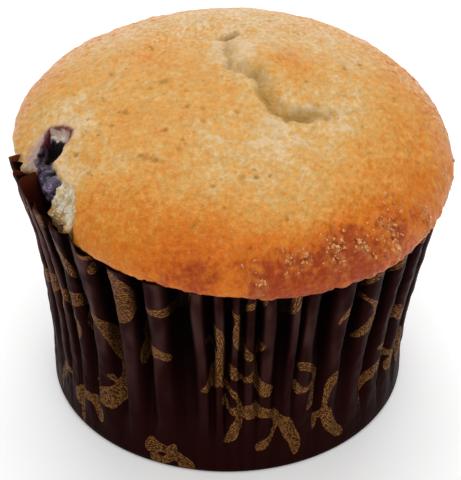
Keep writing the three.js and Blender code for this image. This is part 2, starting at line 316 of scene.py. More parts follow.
# Burst bubbles in the crust: x, y and radius.
PORES = (
    (-10.7, 1.5, 0.75), (-17.0, -5.1, 0.6), (-6.8, -5.4, 0.45), (-4.2, -6.0, 0.4), (-4.1, -9.1, 0.45),
    (-7.4, -13.1, 0.4), (-14.1, -15.8, 0.5), (-13.4, -16.2, 0.65), (-12.6, -16.5, 0.5),
    (-11.8, -17.1, 0.65), (-11.0, -17.5, 0.5), (2.2, -21.5, 0.6), (4.5, -21.4, 0.5),
    (-24.9, -12.4, 0.45), (-5.5, -30.0, 0.4), (6.7, -20.9, 0.3),
)
# The hole that the burst berry left in the crust, seen from above, and the part of its outline
# from which torn crumb hangs into it.
HOLLOW = (
    (-30.1, -4.9), (-29.5, -4.1), (-27.6, -4.6), (-26.6, -5.4), (-25.6, -6.5), (-25.9, -8.0),
    (-27.1, -9.9), (-27.6, -11.1), (-28.9, -12.2), (-28.4, -13.3), (-27.5, -15.3), (-27.1, -16.5),
    (-26.8, -18.6), (-27.2, -19.6), (-28.9, -19.4), (-29.8, -16.9), (-30.6, -15.1), (-31.0, -13.5),
    (-31.4, -12.2), (-32.0, -10.5), (-32.0, -9.3), (-31.7, -8.4), (-31.0, -7.2), (-30.5, -6.2),
)
FLAP_EDGE = HOLLOW[1:5]
LEFT_EDGE = HOLLOW[13:]
# Lumps of crumb that stand out of the torn face: x, y, z, radius and how far they stand out.
LUMPS = ((-28.8, -18.9, 47.2, 1.4, 0.9), (-26.7, -24.1, 47.2, 1.6, 1.1), (-26.2, -20.8, 48.4, 1.6, 0.5))


def waves(table, angle):
    """Sum of waves round the cake, each given by its turns, size and phase in degrees."""
    return sum(size * np.cos(turns * angle - math.radians(phase)) for turns, size, phase in table)


def ring_grid(rings):
    """Square rings mapped to a disc: ring k has 8 k points, so cells stay of one size.
    Gives each point's share of the radius and its angle, the triangles, and the rim's first point."""
    share = [np.zeros(1)]
    angle = [np.zeros(1)]
    faces = []
    start = 1
    inner_start = 0
    for k in range(1, rings + 1):
        count = 8 * k
        share.append(np.full(count, k / rings))
        angle.append(np.arange(count) * (2 * math.pi / count))
        sector, step = np.meshgrid(np.arange(8), np.arange(k), indexing="ij")
        outer = sector * k + step
        inner = sector * (k - 1) + step
        inner_count = max(8 * (k - 1), 1)
        a = start + outer % count
        b = start + (outer + 1) % count
        c = inner_start + inner % inner_count
        d = inner_start + (inner + 1) % inner_count
        faces.append(np.stack([a, b, c], axis=-1).reshape(-1, 3))
        short = step < k - 1
        faces.append(np.stack([c[short], b[short], d[short]], axis=-1))
        inner_start = start
        start += count
    return np.concatenate(share), np.concatenate(angle), np.vstack(faces), inner_start


def crowded(value, low, high, density):
    """Moves evenly spread values so that they stand closer where the density is high: the running
    sum of the density over low to high, brought back to the same ends."""
    places = np.linspace(low, high, 1441)
    weight = density(places)
    running = np.concatenate([[0.0], np.cumsum(0.5 * (weight[1:] + weight[:-1]))])
    return np.interp(value, low + (high - low) * running / running[-1], places)


def torn_back(angle):
    """How far the dome's rim is broken back at an angle, with a ragged edge."""
    place, depth = np.array(TORN_EDGE).T
    broken = np.interp(wrap_degrees(angle), place, depth)
    ragged = 0.3 * layered_noise(round_axis(30.0, angle, 0.0), 1.6, 2, 41)
    return np.maximum(0.0, broken + ragged * ease(0.3, 1.5, broken))


def split_fields(flat):
    """The split: height, with the far lobe pushed up and over and falling steeply to the split, and
    the near lobe falling gently to it; and how near the split's bottom is, 0 to 1. The path runs
    from the back to the right, so the far lobe is on its left side."""
    gap, share, side = along_path(flat, CLEFT)
    rough = on_ground(flat)
    wander = side * gap + 0.65 * layered_noise(rough, 2.2, 3, 71)
    far = wander > 0
    fading = ease(-0.04, 0.12, share) * (1 - 0.85 * ease(0.76, 1.0, share))
    whole = fading * mix(0.7, 1.1, ease(0.3, 0.65, share)) * (1 + 0.35 * lattice_noise(rough, 3.4, 74))
    reach = np.where(far, 6.0, 2.3) * (1 + 0.3 * lattice_noise(rough, 4.0, 73))
    fall = (1.0 - np.clip(np.abs(wander) / reach, 0.0, 1.0)) ** np.where(far, 2.6, 2.5)
    lobe = 1.3 * np.exp(-((gap / 6.5) ** 2)) * far
    height = whole * (lobe - np.where(far, 2.45, 1.15) * fall)
    bottom = whole * np.clip(1.0 - np.abs(wander) / np.where(far, 3.2, 0.5), 0.0, 1.0) ** 1.5
    gap, share, _ = along_path(flat, NOTCH, 40)
    notch = np.clip(1.0 - gap / (0.2 + 0.7 * ease(0.0, 0.5, share)), 0.0, 1.0)
    return height - NOTCH_DEPTH * notch, np.maximum(bottom, notch)


def step_depth(flat):
    """The shallow step to the left of the split: a soft edge with a slight groove behind it."""
    gap, share, side = along_path(flat, STEP)
    behind = np.exp(-((gap / np.where(side < 0, 3.5, 0.7)) ** 2))
    return STEP_DEPTH * behind * ease(0.0, 0.08, share) * (1 - ease(0.6, 1.0, share))


def outline_reach(flat, outline):
    """Distance to a closed outline, positive inside it."""
    corners = np.array(outline, float)
    nearest = np.full(len(flat), np.inf)
    inside = np.zeros(len(flat), bool)
    for a, b in zip(corners, np.roll(corners, -1, axis=0)):
        run = b - a
        t = np.clip((flat - a) @ run / (run @ run), 0.0, 1.0)
        nearest = np.minimum(nearest, np.hypot(*(flat - a - t[:, None] * run).T))
        spans = (a[1] > flat[:, 1]) != (b[1] > flat[:, 1])
        crossing = a[0] + (flat[:, 1] - a[1]) / (run[1] if run[1] else 1e-9) * run[0]
        inside ^= spans & (flat[:, 0] < crossing)
    return np.where(inside, nearest, -nearest)


def crust_relief(flat):
    """Height that the crust's swellings, split and step add at each (x, y)."""
    return split_fields(flat)[0] - step_depth(flat) + swellings(flat, SWELLS)


def pore_field(flat, cake):
    """1 in the middle of a pore and 0 outside: the named pores and small random ones."""
    rng = np.random.default_rng(5)
    reach = PORE_SPREAD * np.sqrt(rng.random(cake.pore_count))
    turn = rng.random(cake.pore_count) * 2 * math.pi
    sizes = 0.16 + 0.3 * rng.random(cake.pore_count) ** 2
    pores = np.vstack([PORES, round_axis(reach, turn, sizes)])
    strength = rng.uniform(0.5, 1.0, len(pores))
    warp = 1.0 + 0.6 * lattice_noise(on_ground(flat), 0.9, 83)
    field = np.zeros(len(flat))
    for (x, y, radius), share in zip(pores, strength):
        gap = 0.8 * np.hypot(*(flat - (x, y)).T) * warp
        field = np.maximum(field, share * (1.0 - ease(0.25 * radius, 1.25 * radius, gap)))
    return field


def crust_places(share, angle, cake):
    """Points of the smooth dome. Its radius and edge level wander round the cake, it arches up by
    (1 - t^a)^(1/b), and its crown is shifted to the back. The torn part stops short of the rim."""
    rim = cake.dome_radius + waves(EDGE_RADIUS_WAVES, angle)
    level = cake.edge_level + waves(EDGE_LEVEL_WAVES, angle)
    t = share * (1.0 - torn_back(angle) / rim)
    shift = 1.0 - t * t
    x = t * rim * np.cos(angle) + CROWN_SHIFT[0] * shift
    y = t * rim * np.sin(angle) + CROWN_SHIFT[1] * shift
    arch = np.maximum(0.0, 1.0 - t**DOME_FULLNESS) ** (1.0 / DOME_SHOULDER)
    z = mix(level, CROWN_LEVEL - cake.crown_room, arch)
    return np.column_stack([x, y, z])


def edge_places(angle, cake, paper, rows):
    """Rows under the crust's edge. Whole: the lip rolls in and down, then runs in to the body.
    Torn: a rough face that drops to the foot of the break."""
    edge = crust_places(np.ones_like(angle), angle, cake)
    edge[:, 2] -= cake.hollow_depth * hollow_fields(edge[:, :2])[2]
    radius = np.hypot(edge[:, 0], edge[:, 1])
    torn = ease(*TORN_FROM, torn_back(angle))
    body = body_radius(edge[:, 2] - cake.lip_drop, angle, paper)
    lean = -0.8 + 3.3 * ease(-153.0, -148.0, wrap_degrees(angle))
    made = []
    for v in np.arange(1, rows + 1) / rows:
        roll = min(v / LIP_SHARE, 1.0) * math.pi / 2
        run = max(0.0, (v - LIP_SHARE) / (1 - LIP_SHARE))
        lip_radius = mix(radius - cake.lip_tuck * (1 - math.cos(roll)), body, run)
        lip_level = edge[:, 2] - cake.lip_drop * math.sin(roll) + 0.25 * math.sin(run * math.pi)
        face_radius = mix(radius + lean * min(v / 0.6, 1.0), body, max(0.0, v - 0.75) / 0.25)
        face_level = mix(edge[:, 2], cake.torn_foot, v)
        made.append(round_axis(mix(lip_radius, face_radius, torn), angle, mix(lip_level, face_level, torn)))
    return made


def body_radius(level, angle, paper):
    """Radius of the cake inside the flutes."""
    return crest_radius(level, angle, paper) - 1.15 * pleat_fall(level, paper) - 0.9


def inside_paper(level, degrees, paper):
    """Radius of the room inside the flutes at a level and an angle in degrees."""
    turn, crest, _, tall = pleat_columns(paper)
    fall = np.interp(degrees, np.degrees(turn), (1 - crest) * tall, period=360.0)
    fall *= 1 - PULLED_FLAT * ease(*PULLED_FROM, degrees)
    return crest_radius(level, np.radians(degrees), paper) - pleat_fall(level, paper) * fall - 0.7


def cake_mesh(cake, paper):
    """The whole cake: crust, lip or torn face, and the body down to the foot. Also gives the first
    point under the crust and the number of points of the lip or torn face."""
    share, angle, faces, rim = ring_grid(cake.rings)
    share = crowded(share, 0.0, 1.0, lambda t: 1.0 + 0.7 * ease(0.55, 0.75, t))
    angle = np.radians(crowded(
        wrap_degrees(angle), BACK, BACK + 360.0,
        lambda a: 1.0 + 1.2 * np.exp(-(((a - TORN_MIDDLE) / 26.0) ** 2)),
    ))
    crust = crust_places(share, angle, cake)
    columns = 8 * cake.rings
    around = angle[rim:]
    rows = edge_places(around, cake, paper, cake.edge_rows)
    rows += [round_axis(body_radius(level, around, paper), around, level) for level in BODY_LEVELS]
    points = np.vstack([crust, *rows, [[0.0, 0.0, BODY_LEVELS[-1]]]])
    last = len(points) - 1
    first = len(crust)
    join = np.concatenate([np.arange(rim, rim + columns), np.arange(first, last)])
    faces = np.vstack([
        faces, join[row_faces(len(rows) + 1, columns)],
        fan_faces(last, last - columns, columns, upward=False),
    ])
    return points, faces, first, cake.edge_rows * columns


# Clusters of sugary crumb on the browned rim: x, y and radius.
CLUSTERS = (
    (17.3, -31.6, 1.9), (21.5, -29.3, 1.4), (25.8, -25.7, 2.2), (32.2, -19.0, 1.5), (9.5, -34.0, 1.5),
    (5.0, -37.6, 1.7), (12.5, -33.5, 1.2),
)


def clustered(flat):
    """1 in the middle of a cluster of sugary crumb, fading outwards."""
    near = np.max([swellings(flat, [(*cluster, 1.0)]) for cluster in CLUSTERS], axis=0)
    return near * np.clip(0.9 + 0.6 * lattice_noise(on_ground(flat), 1.7, 18), 0.0, 1.0)


class CakeSettings(bpy.types.PropertyGroup):
    """Sizes of the cake."""

    dome_radius: length_property("Dome radius", "Mean radius of the dome at its widest", 37.2)
    edge_level: length_property("Edge level", "Mean height of the dome's widest line", 45.0)
    crown_room: length_property("Crown room", "Height kept under the frame's top for swellings", 0.4)
    lip_drop: length_property("Lip drop", "How far the lip hangs below the widest line", 1.3)
    lip_tuck: length_property("Lip tuck", "How far the lip rolls in", 0.6)
    torn_foot: length_property("Torn foot", "Level of the foot of the torn face", 42.0)
    grain: length_property("Grain", "Height of the crust's fine grain", 0.1)
    hollow_depth: length_property("Hollow depth", "Depth of the hole over the berry", 5.0)
    rings: count_property("Rings", "Rings of points from crown to rim", 132, 8)
    edge_rows: count_property("Edge rows", "Rows of points down the lip and torn face", 17, 4)
    pore_count: count_property("Pores", "Number of small random pores", 150, 0)


def hollow_fields(flat):
    """Fields of the hole over the berry: open (1 inside), flap (hanging crumb), depth share, the
    dark juice line round its far edge, the soaked crust beside its left edge, and the part of the
    hole past the flap, which lies in shade and is given painted shade."""
    ground = on_ground(flat)
    ragged = 0.22 * layered_noise(ground, 1.1, 2, 17)
    inside = outline_reach(flat, HOLLOW) + ragged
    near = inside > -6.0
    far_gap, left_gap = np.full((2, len(flat)), 9.0)
    far_gap[near] = along_path(flat[near], FLAP_EDGE, 40)[0]
    left_gap[near] = along_path(flat[near], LEFT_EDGE, 60)[0]
    opened = ease(-0.05, 0.22, inside)
    hanging = np.maximum(far_gap + 1.8 * ragged - 2.3, 1.6 * (-29.5 - flat[:, 0] - 1.2 * ragged))
    flap = opened * (1 - ease(0.0, 0.3, hanging))
    depth = opened * mix(ease(0.0, 2.0, left_gap + ragged), 0.14 * far_gap, flap)
    shade = opened * ease(-0.35, -0.2, hanging)
    mottled = lattice_noise(ground, 0.9, 19)
    edge = np.exp(-(((inside - 0.12) / 0.42) ** 2)) * ease(4.6, 2.0, far_gap) * ease(-0.9, -0.2, mottled)
    soaked = 0.8 * ease(2.8, 0.6, left_gap + 2.0 * ragged + 1.7 * mottled) * (1 - opened)
    soaked = np.maximum(soaked * ease(-19.5, -18.5, flat[:, 1]), 0.5 * flap)
    return opened, flap, depth, edge, soaked, shade


def build_cake(cake, paper, material):
    """The cake with its relief, and the fields that its material reads."""
    points, faces, first, edge_count = cake_mesh(cake, paper)
    flat = points[:, :2]
    on_crust = np.zeros(len(points))
    on_crust[:first] = 1.0
    angle = np.arctan2(points[:, 1], points[:, 0])
    degrees = wrap_degrees(angle)
    reach = np.hypot(*flat.T)
    torn = ease(*TORN_FROM, torn_back(angle)) * (1 - on_crust)
    torn[first + edge_count :] = 0.0
    points[:, 2] += crust_relief(flat) * on_crust * ease(1.02, 0.8, reach / cake.dome_radius)
    opened, flap, depth, edge, soaked, shade = (field * on_crust for field in hollow_fields(flat))
    pores = pore_field(flat, cake) * on_crust * (1 - opened)
    normals = point_normals(points, faces)
    # The grain, with lumps and sugary crumb at the rim.
    right = ease(-112.0, -60.0, degrees) * ease(40.0, 0.0, degrees)
    patchy = 0.3 * right * ease(31.0, 34.5, reach) * ease(0.0, 0.8, lattice_noise(points, 2.8, 16))
    sugary = np.maximum(clustered(flat), patchy) * (1 - torn) * mix(0.35, 1.0, on_crust)
    lumpy = ease(24.0, 37.0, reach) * ease(0.1, 0.8, lattice_noise(points, 6.0, 9) + 0.8 * right)
    lumpy = np.clip(lumpy + sugary, 0.0, 1.0)
    height = cake.grain * layered_noise(points, 1.3, 3, 3) * (1 + lumpy)
    for strength, cell, seed in ((0.26, 11.0, 1), (0.17, 4.5, 2), (0.08, 2.2, 4)):
        height += strength * lattice_noise(points, cell, seed)
    height += lumpy * (0.18 * lattice_noise(points, 1.9, 12) + 0.17 * lattice_noise(points, 0.9, 13))
    blocks = np.abs(lattice_noise(points, 1.7, 14)) + 0.5 * np.abs(lattice_noise(points, 0.9, 15))
    height += sugary * blocks
    # The torn crumb and the hollow.
    # Painted shade: the hole past the flap lies in shade, and dark lays the near-black wet colour there,
    # most on its right.
    dark = shade * ease(-29.8, -28.4, flat[:, 0] + 0.25 * (flat[:, 1] + 12.0))
    folds = 0.8 * np.abs(layered_noise(points * (1.0, 0.7, 1.0), 1.9, 2, 55)) * shade
    crumb = np.clip(torn + flap * (1 - shade), 0.0, 1.0)
    crags = np.abs(layered_noise(points, 1.5, 2, 21)) + 0.5 * np.abs(lattice_noise(points, 0.6, 24))
    height = mix(height, 1.15 * crags - 0.4, crumb) * ease(38.0, 43.0, points[:, 2])
    height += torn * swellings(points, LUMPS)
    browner = ease(48.0, 46.3, points[:, 2]) + 0.4 * lattice_noise(points, 2.0, 57) - 0.1
    toast = torn * np.clip(browner, 0.0, 1.0)
    points = points + normals * (height + folds)[:, None]
    points[:, 2] -= cake.hollow_depth * depth + 0.16 * pores
    # The torn face stays inside the paper.
    reach = np.hypot(*points[:, :2].T)
    room = inside_paper(points[:, 2], degrees, paper) + 3.0 * ease(46.5, 48.5, points[:, 2]) - 0.7 * crags
    points[:, :2] *= np.where(torn > 0, np.minimum(1.0, room / np.maximum(reach, 1.0)), 1.0)[:, None]
    # Partly painted light: on the sugary crumb, where blocks also raise the surface, the bake is paler on
    # the raised blocks and browner between them, and the candied colour lies on the raised blocks.
    bake = browning(points, flat) + (0.2 * lumpy + 0.15 * sugary) * (0.42 - blocks)
    bake = np.clip(bake, 0.0, 1.0)
    # Painted sheen: whitish towards the back of the crust and towards its rim.
    back_sheen = ease(3.0, 26.0, flat[:, 1] + 14.0 * ease(29.0, 36.0, reach)) * on_crust
    made = add_mesh("muffin_cake", points, faces, material, (
        ("bake", bake), ("uneven", mix(1.0, 0.5, ease(0.3, 0.95, bake))), ("crumb", crumb), ("stain", edge),
        ("soaked", soaked), ("hollow", dark), ("pore", pores), ("sugary", sugary * ease(0.05, 0.5, blocks)),
        # The split field lays the darker split colour at the split's bottom: partly painted shade.
        ("split", split_fields(flat)[1] * on_crust),
        # The lining colour lies where the hole is shaded: berry skin and juice, partly painted shade.
        ("lined", np.maximum(shade, torn * ease(-148.0, -152.0, degrees))), ("toast", toast), ("back_sheen", back_sheen),
    ))
    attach(made, BODY)
    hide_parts("cake")
    return made


# Browning of the rim: angle, distance from the middle where it starts, and amount at the rim.
RIM_BROWNING = (
    (-270.0, 28.0, 0.34), (-230.0, 28.0, 0.38), (-200.0, 30.0, 0.42), (-165.0, 34.0, 0.12),
    (-140.0, 27.0, 0.36), (-128.0, 26.0, 0.4), (-118.0, 24.0, 0.5), (-90.0, 25.0, 0.68),
    (-72.0, 28.0, 0.7), (-55.0, 27.0, 0.7), (-42.0, 24.0, 0.56), (-20.0, 20.0, 0.42), (0.0, 21.0, 0.36),
    (30.0, 25.0, 0.38), (90.0, 28.0, 0.34),
)
# Browner and paler patches of the crust: x, y, radius and amount.
BAKE_PATCHES = (
    (-13.0, 11.5, 4.0, 0.24), (-7.0, 8.0, 5.0, 0.06), (11.0, 7.5, 5.0, 0.14), (-2.0, -2.5, 4.5, 0.1),
    (-15.0, -8.0, 7.0, 0.14), (-11.0, -18.0, 5.0, 0.05), (-14.0, -23.0, 6.0, 0.08),
    (-28.0, 7.0, 6.0, 0.14), (20.0, -15.0, 4.0, 0.04), (20.0, -29.0, 2.8, 0.2),
    (27.0, -23.5, 3.0, 0.16), (16.0, -34.0, 3.6, 0.16), (31.5, -15.0, 3.0, 0.06),
    (-8.0, -33.0, 6.0, 0.14), (9.0, -14.0, 6.5, -0.13), (18.0, -6.0, 5.0, -0.06),
    (-29.0, -8.0, 5.5, -0.2), (-25.5, -5.5, 3.5, -0.12), (-27.0, -17.0, 4.0, -0.25),
    (1.0, 11.0, 4.0, -0.2), (0.0, -17.5, 5.0, -0.05), (14.0, -27.5, 4.0, -0.07),
    (18.5, -32.5, 3.0, 0.1), (7.0, -37.0, 5.0, 0.11), (0.5, -38.0, 3.0, -0.2), (20.0, 15.0, 7.0, -0.06),
    (0.0, 28.0, 14.0, -0.1), (13.5, -21.0, 4.0, 0.1), (-11.0, 3.0, 4.0, 0.08), (18.5, -1.0, 6.0, -0.07),
    (-24.6, 0.7, 5.0, -0.12), (-23.5, -22.0, 4.5, 0.08), (-17.5, -21.7, 4.5, 0.1),
    (-1.3, -26.6, 4.5, 0.1), (7.5, 7.2, 3.5, 0.13), (12.0, 3.0, 3.4, 0.16), (7.5, -3.5, 3.0, 0.06),
    (8.0, -34.0, 4.0, -0.03), (-28.0, -7.0, 4.0, -0.08),
)


def browning(points, flat):
    """How brown the crust is, 0 to 1: pale in the split, golden on the crown and browner towards the
    front and right rim, with patches and a fine mottle."""
    reach = np.hypot(*flat.T)
    degrees = wrap_degrees(np.arctan2(flat[:, 1], flat[:, 0]))
    place, start, amount = np.array(RIM_BROWNING).T
    start = np.interp(degrees, place, start)
    rise = np.clip((reach - start) / (BROWNED_RIM - start), 0.0, 1.3)
    brown = CROWN_BROWNING + np.interp(degrees, place, amount) * rise**0.85 + swellings(flat, BAKE_PATCHES)
    gap, share, side = along_path(flat, CLEFT)
    brown -= 0.18 * np.exp(-((gap / np.where(side > 0, 4.0, 2.4)) ** 2)) * (1 - 0.5 * share)
    gap, share, side = along_path(flat, STEP)
    ridge = np.exp(-((gap / 1.4) ** 2)) * (side > 0)
    brown += 0.16 * ridge * ease(0.05, 0.2, share) * ease(0.6, 0.4, share)
    mottle = 0.1 * lattice_noise(points, 5.0, 31) + 0.11 * layered_noise(points, 2.6, 3, 33)
    brown += mottle * mix(1.0, 0.4, ease(0.3, 0.6, brown))
    front = ease(-112.0, -75.0, degrees) * ease(-10.0, -40.0, degrees) * ease(0.3, 0.9, rise)
    brown += 0.09 * front * ease(0.0, 0.6, layered_noise(points, 2.4, 2, 35))
    return np.clip(brown, 0.0, 1.0)


class CrustColours(bpy.types.PropertyGroup):
    """Colours of the crust and the crumb."""

    pale: colour_property("Pale crust", "Barely browned crust", "#DAB98C")
    straw: colour_property("Straw crust", "Straw-coloured crust", "#D5AB69")
    golden: colour_property("Golden crust", "Golden crust", "#D69E4F")
    amber: colour_property("Amber crust", "Evenly baked crust", "#D7923A")
    orange: colour_property("Orange crust", "Well baked crust", "#D27B18")
    brown: colour_property("Brown crust", "Browned rim", "#D26A06")
    dark: colour_property("Dark crust", "Darkest, caramelised spots", "#A03804")
    # Sugar grains, and partly painted glints: pale specks from fine noise.
    sugar: colour_property("Sugar", "Fine sugary grain on the crust", "#EAB976")
    # Partly painted shade: a darker olive laid at the bottom of the split, together with the moist, less
    # baked crust there.
    split: colour_property("Split", "Moist crust inside the split", "#A07A36")
    pore: colour_property("Pore", "Inside of a burst bubble", "#A06A0C")
    # Painted sheen: a whitish colour towards the back, where the crust is seen at a grazing angle and
    # reflects the white floor.
    whitish_sheen: colour_property("Floury", "Dry, pale bloom on the crust at the back", "#F0D4B8")
    candied: colour_property("Candied", "Sugary crumb on the rim", "#E09A58")
    syrup: colour_property("Syrup", "Sugar browned to syrup", "#C46A2A")
    crumb: colour_property("Crumb", "Torn crumb", "#EADFC8")
    soaked: colour_property("Soaked crumb", "Crumb soaked with berry juice", "#A08A90")
    flaked: colour_property("Flaked crumb", "Yellower flakes in the torn crumb", "#CDB485")
    toasted: colour_property("Toasted crumb", "Lower, browner crumb of the torn face", "#DDA658")
    # Partly painted shade: the berry's skin and juice in the hollow, laid as a near-black purple where the
    # pit is shaded.
    lining: colour_property("Lining", "Berry skin and juice that line the hollow", "#1E1426")
    juice: colour_property("Juice", "Edge stained by berry juice", "#701A2C")
    # Painted shade: near-black laid in the deep, shaded part of the hollow.
    wet: colour_property("Wet hollow", "Dark wet inside of the hollow", "#140B10")


def crust_material(colours):
    """Baked crust: sugar and egg proteins browned in the oven, drier and glossier than crumb. Light
    enters the starch below, so edges glow a little, and the grain is 0.4 to 2 mm."""
    material, tree = new_material("baked_crust")
    here = add_node(tree, "TexCoord").outputs["Object"]
    place = add_node(tree, "Mapping", {"Vector": here, "Scale": (1.0, 0.8, 1.0)})
    bake, uneven, crumb, toast, stain, soaked, lined, hollow, pore, split, sugary, back_sheen = (
        add_node(tree, "Attribute", attribute_name=name).outputs["Fac"] for name in (
            "bake", "uneven", "crumb", "toast", "stain", "soaked", "lined", "hollow", "pore", "split",
            "sugary", "back_sheen",
        )
    )
    cells = add_node(tree, "TexVoronoi", {"Vector": place, "Scale": 1 / (0.42 * MM)})
    speck = add_node(tree, "SeparateColor", {"Color": cells.outputs["Color"]}).outputs
    # Each noise: cell in millimetres, detail and roughness.
    grain, damp, fine, streak, fold = (
        add_node(tree, "TexNoise", {
            "Vector": place, "Scale": 1 / (size * MM), "Detail": detail, "Roughness": rough,
        })
        for size, detail, rough in (
            (0.9, 5.0, 0.5), (1.9, 5.0, 0.65), (0.7, 5.0, 0.7), (0.6, 3.0, 0.5), (1.2, 4.0, 0.5),
        )
    )
    # Each range: what it reads, its two ends there, and what they become.
    spread, light, damps, grains, melted, streaks, crystal, folds, flakes = (
        add_node(tree, "MapRange", ends) for ends in (
            (grain, 0.3, 0.7, -0.18, 0.18), (speck["Red"], 0.0, 1.0, 0.93, 1.07),
            (damp, 0.34, 0.66, 0.93, 1.06), (fine, 0.52, 0.68, 0.0, 0.28), (bake, 0.55, 0.95, 1.0, 0.35),
            (streak, 0.48, 0.66, 0.0, 0.6), (speck["Green"], -0.3, 1.0, 0.0, 0.64),
            (fold, 0.4, 0.65, 0.0, 0.8), (fold, 0.42, 0.6, 0.0, 0.9),
        )
    )
    # sugar_and_glints lays pale sugary specks that partly stand in for glints.
    value, sugar_and_glints, whitish_sheen, split_shade, open_pore, candied, faceted = (
        add_node(tree, "Math", pair, operation="MULTIPLY") for pair in (
            (light, damps), (grains, melted), (back_sheen, streaks), (split, 0.85), (pore, 0.88),
            (sugary, crystal), (sugary, cells),
        )
    )
    level = add_node(tree, "Math", (spread, uneven, bake), operation="MULTIPLY_ADD")
    ramp = add_node(tree, "ValToRGB", (level,))
    set_stops(ramp, (
        (0.0, colours.pale), (0.11, colours.straw), (0.25, colours.golden), (0.43, colours.amber),
        (0.62, colours.orange), (0.8, colours.brown), (1.0, colours.dark),
    ))
    lining = add_node(tree, "Mix", (folds, colours.lining, colours.soaked), data_type="RGBA")
    torn = add_node(tree, "Mix", (flakes, colours.crumb, colours.flaked), data_type="RGBA")
    base = add_node(tree, "Mix", (1.0, ramp, value), data_type="RGBA", blend_type="MULTIPLY")
    # whitish_sheen is painted sheen, streaked by noise.
    for share, colour in (
        # split_shade is partly painted shade at the split's bottom.
        (sugar_and_glints, colours.sugar), (whitish_sheen, colours.whitish_sheen), (split_shade, colours.split), (open_pore, colours.pore),
        (candied, colours.candied), (crumb, torn), (toast, colours.toasted), (soaked, colours.soaked),
        # The wet colour is painted shade in the deep hollow. The lining's dark is partly painted shade too.
        (lined, lining), (hollow, colours.wet), (stain, colours.juice),
    ):
        base = add_node(tree, "Mix", (share, base, colour), data_type="RGBA")
    pebbled = add_node(tree, "Math", (cells, -0.3, fine), operation="MULTIPLY_ADD")
    heaped = add_node(tree, "Math", (faceted, -2.0, pebbled), operation="MULTIPLY_ADD")
    bump = add_node(tree, "Bump", {"Height": heaped, "Strength": 0.7, "Distance": 0.36 * MM})
    shader = add_node(tree, "BsdfPrincipled", {
        "Base Color": base, "Roughness": 0.32, "IOR": 1.45, "Specular IOR Level": 0.22, "Normal": bump,
        "Subsurface Weight": 0.12, "Subsurface Scale": 1.0 * MM, "Subsurface Radius": (1.0, 0.5, 0.22),
        "Sheen Weight": 0.05, "Sheen Roughness": 0.3,
    })
    add_node(tree, "OutputMaterial", {"Surface": shader})
    return material


# ---- The blueberry ----


# Where the berry's skin is sunken or swollen: direction, width in radians, and how far it stands out.
SUNKEN = ((0.15, 0.5, 0.85), 0.4, -2.2)
LOBE = ((-0.62, -0.62, 0.48), 0.42, 1.7)
UPPER = ((-0.85, 0.0, 0.53), 0.3, 1.5)
TAIL = ((-0.3, -0.9, -0.3), 0.5, -2.0)


class BerrySettings(bpy.types.PropertyGroup):
    """Sizes of the blueberry."""

    fold_depth: length_property("Fold depth", "Depth of the folds in its collapsed skin", 1.1)
    rows: count_property("Rows", "Rows of points from pole to pole", 110, 8)
    columns: count_property("Columns", "Columns of points round the berry", 200, 8)
    skin: colour_property("Skin", "Wet dark skin", "#1E1128")
    bloom: colour_property("Bloom", "Pale waxy bloom", "#8E7C9E")
    # Partly painted shade: the burst flesh, and the same dark laid into the skin's creases.
    flesh_and_crease_shade: colour_property("Flesh", "Split, wet inside", "#12090F")


def ball_grid(rows, columns):
    """Unit sphere of rows from pole to pole and columns round it: directions and triangles."""
    v = (np.arange(1, rows) / rows) * math.pi
    u = np.arange(columns) * (2 * math.pi / columns)
    v, u = (grid.ravel() for grid in np.meshgrid(v, u, indexing="ij"))
    unit = np.column_stack([np.sin(v) * np.cos(u), np.sin(v) * np.sin(u), np.cos(v)])
    unit = np.vstack([unit, [[0, 0, 1], [0, 0, -1]]])
    faces = np.vstack([
        row_faces(rows - 1, columns),
        fan_faces(len(unit) - 2, 0, columns, upward=True),
        fan_faces(len(unit) - 1, (rows - 2) * columns, columns, upward=False),
    ])
    return unit, faces


def bump_towards(unit, direction, width):
    """1 where a unit direction points along the given one, fading with the angle between them."""
    aim = np.array(direction) / np.linalg.norm(direction)
    return np.exp(-((np.arccos(np.clip(unit @ aim, -1.0, 1.0)) / width) ** 2))


def build_berry(berry, material):
    """A collapsed sphere as wide as the frame's: its skin folded by noise, sunken where it burst,
    with one lobe swollen out through the hole in the crust."""
    middle = (BERRY_LOW + BERRY_HIGH) / 2
    half = (BERRY_HIGH - BERRY_LOW) / 2
    unit, faces = ball_grid(berry.rows, berry.columns)
    folds = layered_noise(unit, 0.34, 3, 51)
    creases = 1.0 - np.abs(layered_noise(unit * (1.0, 1.0, 0.6) + 7.0, 0.36, 2, 53)) * 2.2
    sunken, lobe = (bump_towards(unit, *place[:2]) for place in (SUNKEN, LOBE))
    inward = berry.fold_depth * (0.35 + 0.6 * folds + 0.55 * np.clip(creases, 0, 1) ** 3)
    outward = -inward
    for direction, width, height in (SUNKEN, LOBE, UPPER, TAIL):
        outward += height * bump_towards(unit, direction, width)
    points = middle + unit * half + unit * outward[:, None]
    # The burst, sunken part gets the flesh colour, and the skin's creases get the same dark as painted
    # shade. The swollen lobe is spared.
    burst_and_crease_shade = np.clip(sunken + 1.7 * np.clip(creases, 0, 1) ** 2 - 0.5 * lobe, 0.0, 1.0)
    made = add_mesh("blueberry_skin", points, faces, material, (("burst_and_crease_shade", burst_and_crease_shade), ("lobe", lobe)))
    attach(made, BODY)
    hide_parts("blueberry")
    return made


